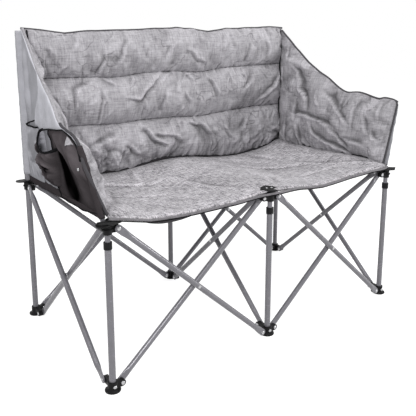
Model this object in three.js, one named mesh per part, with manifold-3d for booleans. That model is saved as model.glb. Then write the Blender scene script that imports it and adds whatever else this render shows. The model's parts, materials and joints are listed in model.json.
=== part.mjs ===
// Folding camping loveseat: six posts in two rows, seven crossed pairs of braces between them,
// and a padded cloth seat, back and arms. Millimetres, +Z up, +X to the sitter's left as seen from
// the front, front legs at -Y. The origin is on the floor under the middle of the frame.

import * as THREE from "three";
import { mergeVertices } from "three/addons/utils/BufferGeometryUtils.js";
import Module from "manifold-3d";

const wasm = await Module();
wasm.setup();

// Frame layout
const braceSpan = 468; // level distance between the two end pivots of a brace
const earReachAcross = 26; // post axis to the pivot of a brace that runs across
const earReachDeep = 38.5; // post axis to the pivot of a brace that runs front to back
const footPivotHeight = 16;
const braceSideStep = 9; // middle of a brace to the plane of its crossed pair
const bayWidth = braceSpan + 2 * earReachAcross;
const bayDepth = braceSpan + 2 * earReachDeep;

// Tubes
const postRadius = 8.8;
const postWall = 1.2;
const postTopDrop = 12; // rear posts stop short of the top of the back
const legTopDrop = 54; // outer tube of a front leg stops short of the hub's top
const sliderRadius = 7.2;
const sliderWall = 1.2;
const sliderBottom = 137;
const braceRadius = 8;
const braceEndHalfWidth = 10;
const braceEndHalfThickness = 2.5;
const braceFlatLength = 13; // flattened stretch beyond the pivot
const braceTaperLength = 30;
const runningGap = 0.3;

// Rivets
const rivetRadius = 3;
const rivetHeadRadius = 5.5;
const rivetHeadHeight = 2.2;
const footPinHeight = 15;
const footPinHeadRadius = 5;
const crossingWasherRadius = 7;

// Feet
const footRadius = 21;
const footRimHeight = 5;
const footToeHeight = 1.5;
const footShoulderHeight = 8;
const footHeight = 27;
const footSole = 4;
const socketRadius = 13;
const earRadius = 9;

// Hubs
const hubRadius = 11.5;
const rearHubRadius = 12.5;
const hubHeight = 30;
const hubPivotDrop = 18; // rivets of a hub, below its top
const hubPlateThickness = 3;
const hubPlateRadius = 15;
const hubSkirt = 7; // hub material above the blind end of its bore
const bladeHalfWidth = 17;
const bladeThickness = 3;
const bladeDrop = 13; // gap between the two blades of a corner hub
const bladeReaches = { front_left: 40, rear_left: 37, front_right: 19, rear_right: 37 };
const bladeTurns = { front_left: 216, rear_left: 180, front_right: 0, rear_right: 0 }; // degrees from +X

// Collars on the front legs
const collarRadius = 10.8;
const collarLap = 14; // length of collar round the outer tube
const collarHeight = 19;

// Caps on the rear posts
const capHeight = 3;
const capPlugLength = 12;

// Seat
const seatEdgeHeight = 460.5;
const seatEdgeThickness = 12;
const seatMiddleThickness = 20;
const seatSideInset = 3; // short of the outer post axes
const seatFrontOverhang = 16; // past the front post axes
const seatRearSetback = 17; // short of the rear post axes
const seatFrontSag = 32;
const seatRearSag = 12;
const seatFrontDrawIn = 7; // how far the front hem curves back between the hubs
const seatHalfGap = 0.6;
const seatHubGap = 0.5; // seat to the tops of the hubs
const seatCornerWidth = 45; // stretch over which the front hem turns back at its ends
const seatCornerDrawIn = 12;

// Back
const backTopHeight = 908;
const backTopDip = 9;
const backSeamThickness = 11;
const backCrownThickness = 33;
const backEdgeThickness = 8;
const backPostGap = 0.35;
const backLift = 2.5; // above the seat
const backSideInset = 2; // edge of the back, short of the outer post axes
const backPadInset = 22; // edge of the padding, short of the outer post axes
const backSeamShares = [0, 0.31, 0.665, 1];

// Arms
const armLean = 58; // how far the front top corner leans out
const armEdgeThickness = 7;
const armMiddleThickness = 17;
const armInset = 7; // arm's middle surface, inside the outer post axis
const armFrontSetback = 10; // short of the front post axis
const armRearGap = 0.35; // arm to the edge of the back
const armLift = 0.35;
const armTopShares = [
  [0, 1],
  [0.17, 0.83],
  [0.29, 0.745],
  [0.6, 0.505],
  [0.7, 0.49],
  [0.85, 0.478],
  [1, 0.462],
];

// Arm poles
const poleRadius = 6;
const poleStandOff = 6; // pole foot, outside the hub axis
const poleSetBack = 10; // behind the front edge of the arm
const poleTopClearance = 12; // below the arm's front corner
const poleLeanShare = 0.92; // of the arm's lean

// Cup pocket on the left arm
const cupMiddleShare = 0.454; // of the arm's depth, from the rear
const cupMouthWidth = 112;
const cupMouthDepth = 46;
const cupRise = 167.5; // mouth above the seat's edge
const cupHeight = 142;
const cupBottomShare = 0.55; // width of the bottom as a share of the mouth
const cupWall = 2.2;
const clothGap = 0.5;
const pocketGap = 1; // pocket's sewn edge to the arm's face

// Flat pocket on the left arm
const flatPocketWidth = 122;
const flatPocketRise = 179.5; // mouth above the seat's edge
const flatPocketHeight = 164;
const flatPocketDepth = 17;
const flatPocketWall = 1.8;
const flatPocketBottomShare = 0.9; // width of the bottom as a share of the mouth
const flatPocketRearShare = 0.02; // of the arm's depth, from the rear

// Cap plate over the middle of the seat's front hem
const seatCapLength = 74;
const seatCapWidth = 36;
const seatCapThickness = 3;
const seatCapRivetStep = 9; // each side of the middle
const seatCapSetback = 7; // behind the front post axis

// Facets
const tubeSides = 12;
const braceSides = 8;
const rivetSides = 8;
const discSides = 18;
const mergeTolerance = 1e-4;
const overrun = 5; // how far a cutter runs past what it cuts

// Derived places
const halfWidth = bayWidth;
const hubTop = seatEdgeHeight - seatEdgeThickness - seatHubGap;
const hubBottom = hubTop - hubHeight;
const hubPivotHeight = hubTop - hubPivotDrop;
const legHeight = hubTop - legTopDrop;
const postHeight = backTopHeight - postTopDrop;
const cupTop = seatEdgeHeight + cupRise;
const cupBottom = cupTop - cupHeight;
const flatPocketTop = seatEdgeHeight + flatPocketRise;
const flatPocketBottom = flatPocketTop - flatPocketHeight;
const frontY = -bayDepth / 2;
const rearY = bayDepth / 2;
const earHalfThickness = braceSideStep - braceEndHalfThickness - runningGap;
const braceRise = hubPivotHeight - footPivotHeight;
const braceLength = Math.hypot(braceSpan, braceRise);
const rivetHoleRadius = rivetRadius + runningGap;
const hubPlateUnderside = hubTop - hubPlateThickness;
const seatHalfWidth = halfWidth - seatSideInset;
const seatFrontY = frontY - seatFrontOverhang;
const seatRearY = rearY - seatRearSetback;
const seatFoldY = (frontY + seatRearY) / 2; // midway between the hinge lines of the two halves
const armFrontY = frontY + armFrontSetback;
const armBottomZ = seatEdgeHeight + armLift;
const backRearY = rearY - postRadius - backPostGap;
const backHalfWidth = halfWidth - backSideInset;
const padHalfWidth = halfWidth - backPadInset;
const armRearY = backRearY - backEdgeThickness - armRearGap;
const armDepth = armRearY - armFrontY;

// Materials
const paint = { color: 0x9c9ba1, roughness: 0.38, metalness: 0.6 };
const plastic = { color: 0x151517, roughness: 0.55, metalness: 0 };
const steel = { color: 0xc9c9cc, roughness: 0.3, metalness: 0.9 };
const greyCloth = { color: 0xa3a1a5, roughness: 0.95, metalness: 0 };
const darkCloth = { color: 0x3b383b, roughness: 0.7, metalness: 0 };

const loveseat = new THREE.Group();

/** Puts one named piece in the group. */
function addPiece(name, geometry, finish, place = {}) {
  const mesh = new THREE.Mesh(geometry, new THREE.MeshStandardMaterial(finish));
  mesh.name = name;
  if (place.position) {
    mesh.position.copy(place.position);
  }
  if (place.quaternion) {
    mesh.quaternion.copy(place.quaternion);
  }
  loveseat.add(mesh);
  return mesh;
}

/** A closed geometry as a solid that can be joined and cut. */
function toSolid(geometry) {
  const bare = geometry.clone();
  bare.deleteAttribute("normal");
  bare.deleteAttribute("uv");
  const merged = mergeVertices(bare, mergeTolerance);
  const index = merged.index.array;
  const kept = [];
  for (let i = 0; i < index.length; i += 3) {
    const [a, b, c] = [index[i], index[i + 1], index[i + 2]];
    if (a !== b && b !== c && c !== a) {
      kept.push(a, b, c);
    }
  }
  const vertProperties = new Float32Array(merged.attributes.position.array);
  const triVerts = new Uint32Array(kept);
  return new wasm.Manifold(new wasm.Mesh({ numProp: 3, vertProperties, triVerts }));
}

/** A solid as a geometry again. */
function toGeometry(solid) {
  const mesh = solid.getMesh();
  const geometry = new THREE.BufferGeometry();
  geometry.setAttribute("position", new THREE.BufferAttribute(mesh.vertProperties, 3));
  geometry.setIndex(new THREE.BufferAttribute(mesh.triVerts, 1));
  geometry.computeVertexNormals();
  return geometry;
}

/** Several solids joined into one geometry. */
function joined(...solids) {
  return toGeometry(solids.reduce((all, one) => all.add(one)));
}

/** A turned solid about +Z; the profile is a list of [radius, height], outer wall going up. */
function turned(profile, sides = tubeSides) {
  const points = profile.map(([radius, height]) => new THREE.Vector2(radius, height));
  return new THREE.LatheGeometry(points, sides).rotateX(Math.PI / 2);
}

/** A solid rod about +Z. */
function rod(radius, bottom, top, sides = tubeSides) {
  return toSolid(turned([[0, bottom], [radius, bottom], [radius, top], [0, top]], sides));
}

/** An open-ended tube about +Z. */
function tube(radius, wall, bottom, top, sides = tubeSides) {
  const bore = radius - wall;
  return toSolid(turned([[radius, bottom], [radius, top], [bore, top], [bore, bottom], [radius, bottom]], sides));
}

/** A rivet along +Z with a low head on each end, gripping what lies between two heights. */
function rivet(low, high, radius = rivetRadius, headRadius = rivetHeadRadius) {
  const profile = [
    [0, low - rivetHeadHeight],
    [headRadius, low],
    [radius, low],
    [radius, high],
    [headRadius, high],
    [0, high + rivetHeadHeight],
  ];
  return toSolid(turned(profile, rivetSides));
}

/** Lays a solid made along +Z onto +Y. */
function ontoY(solid) {
  return solid.rotate([-90, 0, 0]);
}

/** A skin through rings of points with the same count, closed by a fan at each end. */
function loft(rings) {
  const count = rings[0].length;
  const positions = rings.flat().flatMap((p) => [p.x, p.y, p.z]);
  const index = [];
  for (let r = 0; r + 1 < rings.length; r += 1) {
    for (let i = 0; i < count; i += 1) {
      const j = (i + 1) % count;
      const [a, b, c, d] = [r * count + i, r * count + j, (r + 1) * count + j, (r + 1) * count + i];
      index.push(a, b, c, a, c, d);
    }
  }
  const last = (rings.length - 1) * count;
  for (let i = 1; i + 1 < count; i += 1) {
    index.push(0, i + 1, i, last, last + i, last + i + 1);
  }
  const geometry = new THREE.BufferGeometry();
  geometry.setAttribute("position", new THREE.Float32BufferAttribute(positions, 3));
  geometry.setIndex(index);
  return toSolid(geometry);
}

/** A closed sheet between a front and a back surface, each a function of two shares. */
function paddedSheet(front, back, columns, rows) {
  const positions = [];
  const place = (side, i, j) => (side * (rows + 1) + j) * (columns + 1) + i;
  for (const surface of [front, back]) {
    for (let j = 0; j <= rows; j += 1) {
      for (let i = 0; i <= columns; i += 1) {
        positions.push(...surface(i / columns, j / rows).toArray());
      }
    }
  }
  const index = [];
  const quad = (a, b, c, d) => index.push(a, b, c, a, c, d);
  for (let j = 0; j < rows; j += 1) {
    for (let i = 0; i < columns; i += 1) {
      quad(place(0, i, j), place(0, i + 1, j), place(0, i + 1, j + 1), place(0, i, j + 1));
      quad(place(1, i, j), place(1, i, j + 1), place(1, i + 1, j + 1), place(1, i + 1, j));
    }
  }
  for (let i = 0; i < columns; i += 1) {
    quad(place(0, i + 1, 0), place(0, i, 0), place(1, i, 0), place(1, i + 1, 0));
    quad(place(0, i, rows), place(0, i + 1, rows), place(1, i + 1, rows), place(1, i, rows));
  }
  for (let j = 0; j < rows; j += 1) {
    quad(place(0, 0, j), place(0, 0, j + 1), place(1, 0, j + 1), place(1, 0, j));
    quad(place(0, columns, j + 1), place(0, columns, j), place(1, columns, j), place(1, columns, j + 1));
  }
  const geometry = new THREE.BufferGeometry();
  geometry.setAttribute("position", new THREE.Float32BufferAttribute(positions, 3));
  geometry.setIndex(index);
  const solid = toSolid(geometry);
  return toGeometry(solid);
}

/** 1 in the middle of a stretch and 0 at both ends, with a full rounded shape between. */
function crown(share, fullness) {
  return Math.pow(Math.max(0, 4 * share * (1 - share)), fullness);
}

/** Reads a height off a table of [place share, height share] by straight lines. */
function alongTable(table, share) {
  const k = Math.min(table.length - 2, Math.max(0, table.findIndex(([place]) => place > share) - 1));
  const found = share >= 1 ? table.length - 2 : k;
  const [from, low] = table[found];
  const [to, high] = table[found + 1];
  return low + ((high - low) * (share - from)) / (to - from);
}

// The six posts, by column and row. across and deep list where braces leave each post.
const columns = [
  { name: "left", x: -halfWidth, across: [1] },
  { name: "centre", x: 0, across: [-1, 1] },
  { name: "right", x: halfWidth, across: [-1] },
];
const rows = [
  { name: "front", y: frontY, deep: 1 },
  { name: "rear", y: rearY, deep: -1 },
];

/** An upright ear on a post: a plate with a round end and a rivet hole, along +X. */
function ear(reach, pivotHeight, bottom, holeRadius) {
  const outline = new THREE.Shape();
  const top = pivotHeight + earRadius;
  outline.moveTo(0, bottom);
  outline.lineTo(reach, bottom);
  outline.absarc(reach, pivotHeight, earRadius, -Math.PI / 2, Math.PI / 2, false);
  outline.lineTo(0, top);
  outline.closePath();
  const hole = new THREE.Path();
  hole.absarc(reach, pivotHeight, holeRadius, 0, 2 * Math.PI, true);
  outline.holes.push(hole);
  const plate = new THREE.ExtrudeGeometry(outline, {
    depth: 2 * earHalfThickness,
    bevelEnabled: false,
    curveSegments: rivetSides / 2,
  });
  plate.translate(0, 0, -earHalfThickness).rotateX(Math.PI / 2);
  return toSolid(plate);
}

/** All ears of one post: across the frame, and front to back. */
function ears(column, row, pivotHeight, bottom) {
  const across = column.across.map((sign) =>
    ear(earReachAcross, pivotHeight, bottom, rivetHoleRadius).rotate([0, 0, sign > 0 ? 0 : 180]),
  );
  const deep = ear(earReachDeep, pivotHeight, bottom, rivetHoleRadius).rotate([0, 0, 90 * row.deep]);
  return [...across, deep];
}

/** A foot: round sole, socket for the post, and ears for the brace ends. */
function foot(column, row) {
  const sole = turned(
    [
      [0, 0],
      [footRadius - footToeHeight, 0],
      [footRadius, footToeHeight],
      [footRadius, footRimHeight],
      [socketRadius, footShoulderHeight],
      [0, footShoulderHeight],
    ],
    discSides,
  );
  const earBottom = footPivotHeight - earRadius;
  const parts = [rod(socketRadius, footToeHeight, footHeight, discSides), ...ears(column, row, footPivotHeight, earBottom)];
  const body = parts.reduce((all, one) => all.add(one), toSolid(sole));
  const bore = rod(postRadius + runningGap, footSole, footHeight + overrun);
  const pinHole = onOpenSide(rod(rivetHoleRadius, 0, socketRadius + overrun, rivetSides), row);
  return toGeometry(body.subtract(bore).subtract(pinHole));
}

/** Lays a solid made along +Z level at the foot pin's height, away from the row's deep ears. */
function onOpenSide(solid, row) {
  return ontoY(solid).rotate([0, 0, row.deep > 0 ? 180 : 0]).translate([0, 0, footPinHeight]);
}

/** The rivet that holds a post in its foot, with its head on the open side of the socket. */
function footPin(row) {
  const reach = socketRadius + runningGap;
  const profile = [
    [0, -postRadius + postWall / 2],
    [rivetRadius, -postRadius + postWall / 2],
    [rivetRadius, reach],
    [footPinHeadRadius, reach],
    [0, reach + rivetHeadHeight],
  ];
  return onOpenSide(toSolid(turned(profile, rivetSides)), row);
}

/** A tube standing in a foot, with the foot's rivet fixed through it. */
function standingTube(top, row) {
  return joined(tube(postRadius, postWall, footSole + runningGap, top), footPin(row));
}

/** The collar on top of a front leg: round the outer tube below, close round the slider above. */
function collar() {
  const bottom = legHeight - collarLap;
  const step = legHeight + runningGap;
  const top = bottom + collarHeight;
  const wide = postRadius + runningGap;
  const close = sliderRadius + runningGap;
  const profile = [
    [collarRadius, bottom],
    [collarRadius, top],
    [close, top],
    [close, step],
    [wide, step],
    [wide, bottom],
    [collarRadius, bottom],
  ];
  return toGeometry(toSolid(turned(profile, discSides)));
}

/** The inner tube of a front leg. */
function slider() {
  const top = hubTop - hubSkirt;
  return toGeometry(tube(sliderRadius, sliderWall, sliderBottom, top));
}

/** The plug in the top of a rear post. */
function postCap() {
  const bore = postRadius - postWall - runningGap;
  const bottom = postHeight + runningGap;
  const profile = [
    [0, postHeight - capPlugLength],
    [bore, postHeight - capPlugLength],
    [bore, bottom],
    [postRadius, bottom],
    [postRadius, bottom + capHeight],
    [0, bottom + capHeight],
  ];
  return toGeometry(toSolid(turned(profile)));
}

/** Two level blades of a corner hub: the upper one reaches out, the lower one is round. */
function blades(name) {
  const plate = (reach, top) => {
    const outline = new THREE.Shape();
    const straight = Math.max(0, reach - bladeHalfWidth);
    outline.absarc(0, 0, bladeHalfWidth, Math.PI / 2, -Math.PI / 2, false);
    outline.absarc(straight, 0, bladeHalfWidth, -Math.PI / 2, Math.PI / 2, false);
    outline.closePath();
    const slab = new THREE.ExtrudeGeometry(outline, {
      depth: bladeThickness,
      bevelEnabled: false,
      curveSegments: rivetSides,
    });
    return toSolid(slab.translate(0, 0, top - bladeThickness));
  };
  const upper = plate(bladeReaches[name], hubTop);
  const lower = rod(hubPlateRadius, hubTop - 2 * bladeThickness - bladeDrop, hubTop - bladeThickness - bladeDrop);
  return upper.add(lower).rotate([0, 0, bladeTurns[name]]);
}

/** A hub that joins the upper ends of the braces at one post. */
function hub(column, row) {
  const isRear = row.name === "rear";
  const radius = isRear ? rearHubRadius : hubRadius;
  const earBottom = hubPivotHeight - earRadius;
  const barrel = rod(radius, hubBottom, hubTop, discSides);
  const plate = rod(hubPlateRadius, hubPlateUnderside, hubTop, discSides);
  const parts = ears(column, row, hubPivotHeight, earBottom);
  if (column.x !== 0) {
    parts.push(blades(`${row.name}_${column.name}`));
  }
  const body = parts.reduce((all, one) => all.add(one), isRear ? barrel : barrel.add(plate));
  const bore = isRear
    ? rod(postRadius + runningGap, hubBottom - overrun, hubTop + overrun)
    : rod(sliderRadius + runningGap, hubBottom - overrun, hubTop - hubSkirt + runningGap);
  return toGeometry(body.subtract(bore));
}

/** The arm's own surface. */
const armTopAt = (share) => armBottomZ + (backTopHeight - armBottomZ) * alongTable(armTopShares, share);
const armLeanAt = (share, height) => armLean * Math.pow(share, 1.2) * height;
const armFrontTop = armTopAt(1);

/** The axis of an arm pole, from the top of its hub to below the arm's front corner. */
function poleAxis(sign) {
  const lean = armLean * poleLeanShare;
  const behind = poleSetBack + armFrontSetback;
  const foot = new THREE.Vector3(sign * poleStandOff, poleSetBack, hubTop + poleRadius * Math.sin(lean / armFrontTop));
  const top = new THREE.Vector3(sign * (poleStandOff + lean), behind, armFrontTop - poleTopClearance);
  return { foot, top };
}

/** An arm pole about its hub's own axis, cut level at its foot. */
function poleTube(sign) {
  const { foot, top } = poleAxis(sign);
  const along = top.clone().sub(foot);
  const length = along.length();
  const turn = new THREE.Quaternion().setFromUnitVectors(new THREE.Vector3(0, 0, 1), along.normalize());
  const bore = poleRadius - sliderWall;
  const straight = turned([
    [poleRadius, -overrun],
    [poleRadius, length],
    [bore, length],
    [bore, -overrun],
    [poleRadius, -overrun],
  ]);
  const whole = toSolid(straight.applyQuaternion(turn).translate(foot.x, foot.y, foot.z));
  return whole.trimByPlane([0, 0, 1], hubTop + runningGap);
}

/** One brace along +X between two pivots: a round tube, pressed flat round each pivot. */
function brace() {
  const stations = [
    { at: -braceEndHalfWidth, width: 0.35, flat: 1 },
    { at: -braceEndHalfWidth * 0.6, width: 0.8, flat: 1 },
    { at: 0, width: 1, flat: 1 },
    { at: braceFlatLength, width: 1, flat: 1 },
    { at: braceFlatLength + braceTaperLength, width: 1, flat: 0 },
  ];
  const ring = (along, station) => {
    const halfWidth = station.width * THREE.MathUtils.lerp(braceRadius, braceEndHalfWidth, station.flat);
    const halfThickness = THREE.MathUtils.lerp(braceRadius, braceEndHalfThickness, station.flat);
    const power = THREE.MathUtils.lerp(1, 0.5, station.flat);
    const points = [];
    for (let i = 0; i < braceSides; i += 1) {
      const turn = (2 * Math.PI * (i + 0.5)) / braceSides;
      const swell = (value) => Math.sign(value) * Math.pow(Math.abs(value), power);
      points.push(new THREE.Vector3(along, halfThickness * swell(Math.cos(turn)), halfWidth * swell(Math.sin(turn))));
    }
    return points;
  };
  const start = stations.map((station) => ring(station.at, station));
  const end = [...stations].reverse().map((station) => ring(braceLength - station.at, station));
  const hole = ontoY(rod(rivetHoleRadius, -braceRadius - overrun, braceRadius + overrun, rivetSides));
  return loft([...start, ...end]).subtract(hole.translate([braceLength / 2, 0, 0]));
}

/** A brace with a rivet fixed in each end, which runs in the ear beside it. */
function braceWithRivets() {
  const far = -(braceSideStep + earHalfThickness + runningGap);
  const near = braceEndHalfThickness + runningGap;
  const ends = [0, braceLength].map((along) => ontoY(rivet(far, near)).translate([along, 0, 0]));
  return joined(brace(), ...ends);
}

/** The rivet where two braces cross, with the washer between them, along +Y. */
function crossingRivet() {
  const reach = braceSideStep + braceRadius * Math.cos(Math.PI / braceSides) + runningGap;
  const washerReach = braceSideStep - braceRadius * Math.cos(Math.PI / braceSides) - runningGap;
  const washer = rod(crossingWasherRadius, -washerReach, washerReach);
  return joined(ontoY(rivet(-reach, reach)), ontoY(washer));
}

/** Stands a piece made along +X in the plane of a crossed pair, leaning by its brace's slope. */
function braceFrame(level, side) {
  const slope = Math.atan2(braceRise, braceSpan);
  const along = level.clone().multiplyScalar(Math.cos(slope));
  along.z = Math.sin(slope);
  const third = along.clone().cross(side);
  return new THREE.Quaternion().setFromRotationMatrix(new THREE.Matrix4().makeBasis(along, side, third));
}

/** A crossed pair between two posts. The brace from the first post lies on the normal's side. */
function crossedPair(name, [fromName, from], [toName, to], normal, reach) {
  const level = to.clone().sub(from).normalize();
  const makeBrace = (footName, base, heading, side) => {
    const outward = normal.clone().multiplyScalar(side);
    const position = base.clone().addScaledVector(heading, reach).addScaledVector(outward, braceSideStep);
    position.z = footPivotHeight;
    addPiece(`brace_${name}_from_${footName}`, braceWithRivets(), paint, {
      position,
      quaternion: braceFrame(heading, outward),
    });
  };
  makeBrace(fromName, from, level, 1);
  makeBrace(toName, to, level.clone().negate(), -1);
  const middle = from.clone().add(to).multiplyScalar(0.5);
  middle.z = (footPivotHeight + hubPivotHeight) / 2;
  const turn = new THREE.Quaternion().setFromUnitVectors(new THREE.Vector3(0, 1, 0), normal);
  addPiece(`crossing_rivet_${name}`, crossingRivet(), steel, { position: middle, quaternion: turn });
}

/** Height of the seat's top surface: level over the hubs, hanging between them. */
function seatTopAt(x, y) {
  const depthShare = THREE.MathUtils.clamp((seatRearY - y) / (seatRearY - seatFrontY), 0, 1);
  const sag = THREE.MathUtils.lerp(seatRearSag, seatFrontSag, depthShare);
  const hanging = halfWidth - armInset - 2 * earReachAcross;
  const across = THREE.MathUtils.clamp((Math.abs(x) - earReachAcross) / hanging, 0, 1);
  return seatEdgeHeight - sag * Math.pow(Math.sin(Math.PI * across), 2);
}

/** One half of the seat, front or rear of the line where it folds. */
function seatHalf(rearShareY, frontShareY) {
  const columnsCount = 24;
  const rowsCount = 5;
  const surface = (isTop) => (u, v) => {
    const x = THREE.MathUtils.lerp(-seatHalfWidth, seatHalfWidth, u);
    const bay = Math.pow(Math.sin((Math.PI * x) / halfWidth), 2);
    const corner = Math.max(0, (Math.abs(x) - seatHalfWidth) / seatCornerWidth + 1);
    const drawIn = seatFrontDrawIn * bay + seatCornerDrawIn * corner * corner;
    const hem = frontShareY === seatFrontY ? drawIn * v : 0;
    const y = THREE.MathUtils.lerp(rearShareY, frontShareY, v) + hem;
    const top = seatTopAt(x, y);
    const inset = Math.min(1, Math.abs(Math.abs(x) - halfWidth) / earReachDeep, 1);
    const depthShare = (seatRearY - y) / (seatRearY - seatFrontY);
    const fullness = bay * inset * crown(THREE.MathUtils.clamp(depthShare, 0, 1), 0.3);
    const thickness = THREE.MathUtils.lerp(seatEdgeThickness, seatMiddleThickness, fullness);
    return new THREE.Vector3(x, y, isTop ? top : top - thickness);
  };
  return paddedSheet(surface(false), surface(true), columnsCount, rowsCount);
}

/** The padded back: three crowned channels between sewn seams, in front of the rear posts. */
function backPad() {
  const padColumns = 16;
  const columnsCount = padColumns + 2;
  const perChannel = 4;
  const channels = backSeamShares.length - 1;
  const placeAcross = (u) => {
    const column = Math.round(u * columnsCount);
    if (column === 0 || column === columnsCount) {
      return column === 0 ? -backHalfWidth : backHalfWidth;
    }
    return THREE.MathUtils.lerp(-padHalfWidth, padHalfWidth, (column - 1) / padColumns);
  };
  const heightShare = (v) => {
    const k = Math.min(channels - 1, Math.floor(v * channels + mergeTolerance));
    const within = v * channels - k;
    return {
      share: THREE.MathUtils.lerp(backSeamShares[k], backSeamShares[k + 1], within),
      fullness: crown(within, 0.5),
    };
  };
  const surface = (isFront) => (u, v) => {
    const x = placeAcross(u);
    const { share, fullness } = heightShare(v);
    const bay = Math.pow(Math.sin((Math.PI * x) / halfWidth), 2);
    const bottom = seatTopAt(x, backRearY - backCrownThickness) + backLift;
    const top = backTopHeight - backTopDip * bay;
    const sideFullness = crown(THREE.MathUtils.clamp((x / padHalfWidth + 1) / 2, 0, 1), 0.25);
    const seam = v === 0 || v === 1 ? backEdgeThickness : backSeamThickness;
    const swelling = THREE.MathUtils.lerp(seam, backCrownThickness, fullness);
    const thickness = THREE.MathUtils.lerp(backEdgeThickness, swelling, sideFullness);
    const z = THREE.MathUtils.lerp(bottom, top, share);
    return new THREE.Vector3(x, isFront ? backRearY - thickness : backRearY, z);
  };
  return paddedSheet(surface(true), surface(false), columnsCount, perChannel * channels);
}

/** Distance of an arm's middle surface from the frame's middle plane, and its half thickness. */
function armSection(share, height) {
  const middle = halfWidth - armInset + armLeanAt(share, height);
  const fullness = crown(share, 0.35) * crown(height, 0.35);
  return { middle, half: THREE.MathUtils.lerp(armEdgeThickness, armMiddleThickness, fullness) / 2 };
}

/** An arm panel, from the seat's side edge up to its sloping top, leaning out towards the front. */
function armPanel(sign) {
  const surface = (isOuter) => (u, v) => {
    const share = sign > 0 ? u : 1 - u;
    const { middle, half } = armSection(share, v);
    const x = sign * (middle + (isOuter ? half : -half));
    return new THREE.Vector3(x, armRearY - armDepth * share, THREE.MathUtils.lerp(armBottomZ, armTopAt(share), v));
  };
  return paddedSheet(surface(false), surface(true), 14, 6);
}

/** Outer face of the left arm at a place and a height, as a distance from the middle plane. */
function armOuterAt(y, z) {
  const share = THREE.MathUtils.clamp((armRearY - y) / armDepth, 0, 1);
  const height = THREE.MathUtils.clamp((z - armBottomZ) / (armTopAt(share) - armBottomZ), 0, 1);
  const { middle, half } = armSection(share, height);
  return middle + half;
}

/** A soft pouch on the outer face of the left arm, open at the top. */
function pouch(size) {
  const pointsCount = 12;
  const levels = 4;
  const skin = (inset, bottom, top) => {
    const rings = [];
    for (let k = 0; k <= levels; k += 1) {
      const z = THREE.MathUtils.lerp(bottom, top, k / levels);
      const height = THREE.MathUtils.clamp((z - size.bottom) / (size.top - size.bottom), 0, 1);
      const narrowing = THREE.MathUtils.lerp(size.bottomShare, 1, Math.sqrt(height));
      const halfMouth = (size.width / 2) * narrowing - inset;
      const depth = size.depth * narrowing - 2 * inset;
      const ring = [];
      for (let i = 0; i < pointsCount; i += 1) {
        const turn = (Math.PI * i) / (pointsCount - 1);
        const y = size.middleY + halfMouth * Math.cos(turn);
        const out = pocketGap + inset + depth * Math.pow(Math.sin(turn), size.roundness);
        ring.push(new THREE.Vector3(-armOuterAt(y, z) - out, y, z));
      }
      rings.push(ring);
    }
    return loft(rings);
  };
  const hollow = skin(size.wall, size.bottom + size.wall, size.top + overrun);
  return toGeometry(skin(0, size.bottom, size.top).subtract(hollow));
}

/** The cup pocket in the middle of the arm. */
function cupPocket() {
  return pouch({
    middleY: armRearY - armDepth * cupMiddleShare,
    width: cupMouthWidth,
    depth: cupMouthDepth,
    top: cupTop,
    bottom: cupBottom,
    bottomShare: cupBottomShare,
    wall: cupWall,
    roundness: 0.8,
  });
}

/** The flat pocket behind it. */
function flatPocket() {
  return pouch({
    middleY: armRearY - armDepth * flatPocketRearShare - flatPocketWidth / 2,
    width: flatPocketWidth,
    depth: flatPocketDepth,
    top: flatPocketTop,
    bottom: flatPocketBottom,
    bottomShare: flatPocketBottomShare,
    wall: flatPocketWall,
    roundness: 0.4,
  });
}

/** The pointed cap plate that holds the seat's front hem down on the middle hub, with its rivets. */
function seatCap() {
  const half = seatCapLength / 2;
  const outline = new THREE.Shape();
  outline.moveTo(-half, 0);
  outline.quadraticCurveTo(0, -seatCapWidth, half, 0);
  outline.quadraticCurveTo(0, seatCapWidth, -half, 0);
  const plate = new THREE.ExtrudeGeometry(outline, {
    depth: seatCapThickness,
    bevelEnabled: false,
    curveSegments: rivetSides,
  });
  const low = seatEdgeHeight + clothGap;
  const top = low + seatCapThickness;
  const studs = [-1, 1].map((sign) => {
    const stud = turned([[0, low], [rivetHeadRadius, low], [rivetHeadRadius, top], [0, top + rivetHeadHeight]]);
    return toSolid(stud).translate([sign * seatCapRivetStep, 0, 0]);
  });
  return joined(toSolid(plate.translate(0, 0, low)), ...studs);
}

/** Feet, tubes, collars, sliders and hubs. */
function addPosts() {
  for (const row of rows) {
    for (const column of columns) {
      const position = new THREE.Vector3(column.x, row.y, 0);
      const suffix = `${row.name}_${column.name}`;
      addPiece(`foot_${suffix}`, foot(column, row), plastic, { position });
      addPiece(`hub_${suffix}`, hub(column, row), plastic, { position });
      if (row.name === "rear") {
        addPiece(`post_${suffix}`, standingTube(postHeight, row), paint, { position });
        addPiece(`post_cap_${suffix}`, postCap(), plastic, { position });
      } else {
        addPiece(`leg_${suffix}`, standingTube(legHeight, row), paint, { position });
        addPiece(`collar_${suffix}`, collar(), plastic, { position });
        addPiece(`slider_${suffix}`, slider(), paint, { position });
      }
    }
  }
}

/** The seven crossed pairs. */
function addBraces() {
  const at = (x, y) => new THREE.Vector3(x, y, 0);
  const rearward = new THREE.Vector3(0, 1, 0);
  for (const row of rows) {
    crossedPair(
      `${row.name}_left`,
      ["left", at(-halfWidth, row.y)],
      ["right", at(0, row.y)],
      rearward,
      earReachAcross,
    );
    crossedPair(
      `${row.name}_right`,
      ["left", at(0, row.y)],
      ["right", at(halfWidth, row.y)],
      rearward,
      earReachAcross,
    );
  }
  for (const column of columns) {
    const outward = new THREE.Vector3(column.x < 0 ? -1 : 1, 0, 0);
    const name = column.x === 0 ? "middle" : `side_${column.name}`;
    crossedPair(name, ["front", at(column.x, frontY)], ["rear", at(column.x, rearY)], outward, earReachDeep);
  }
}

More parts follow.
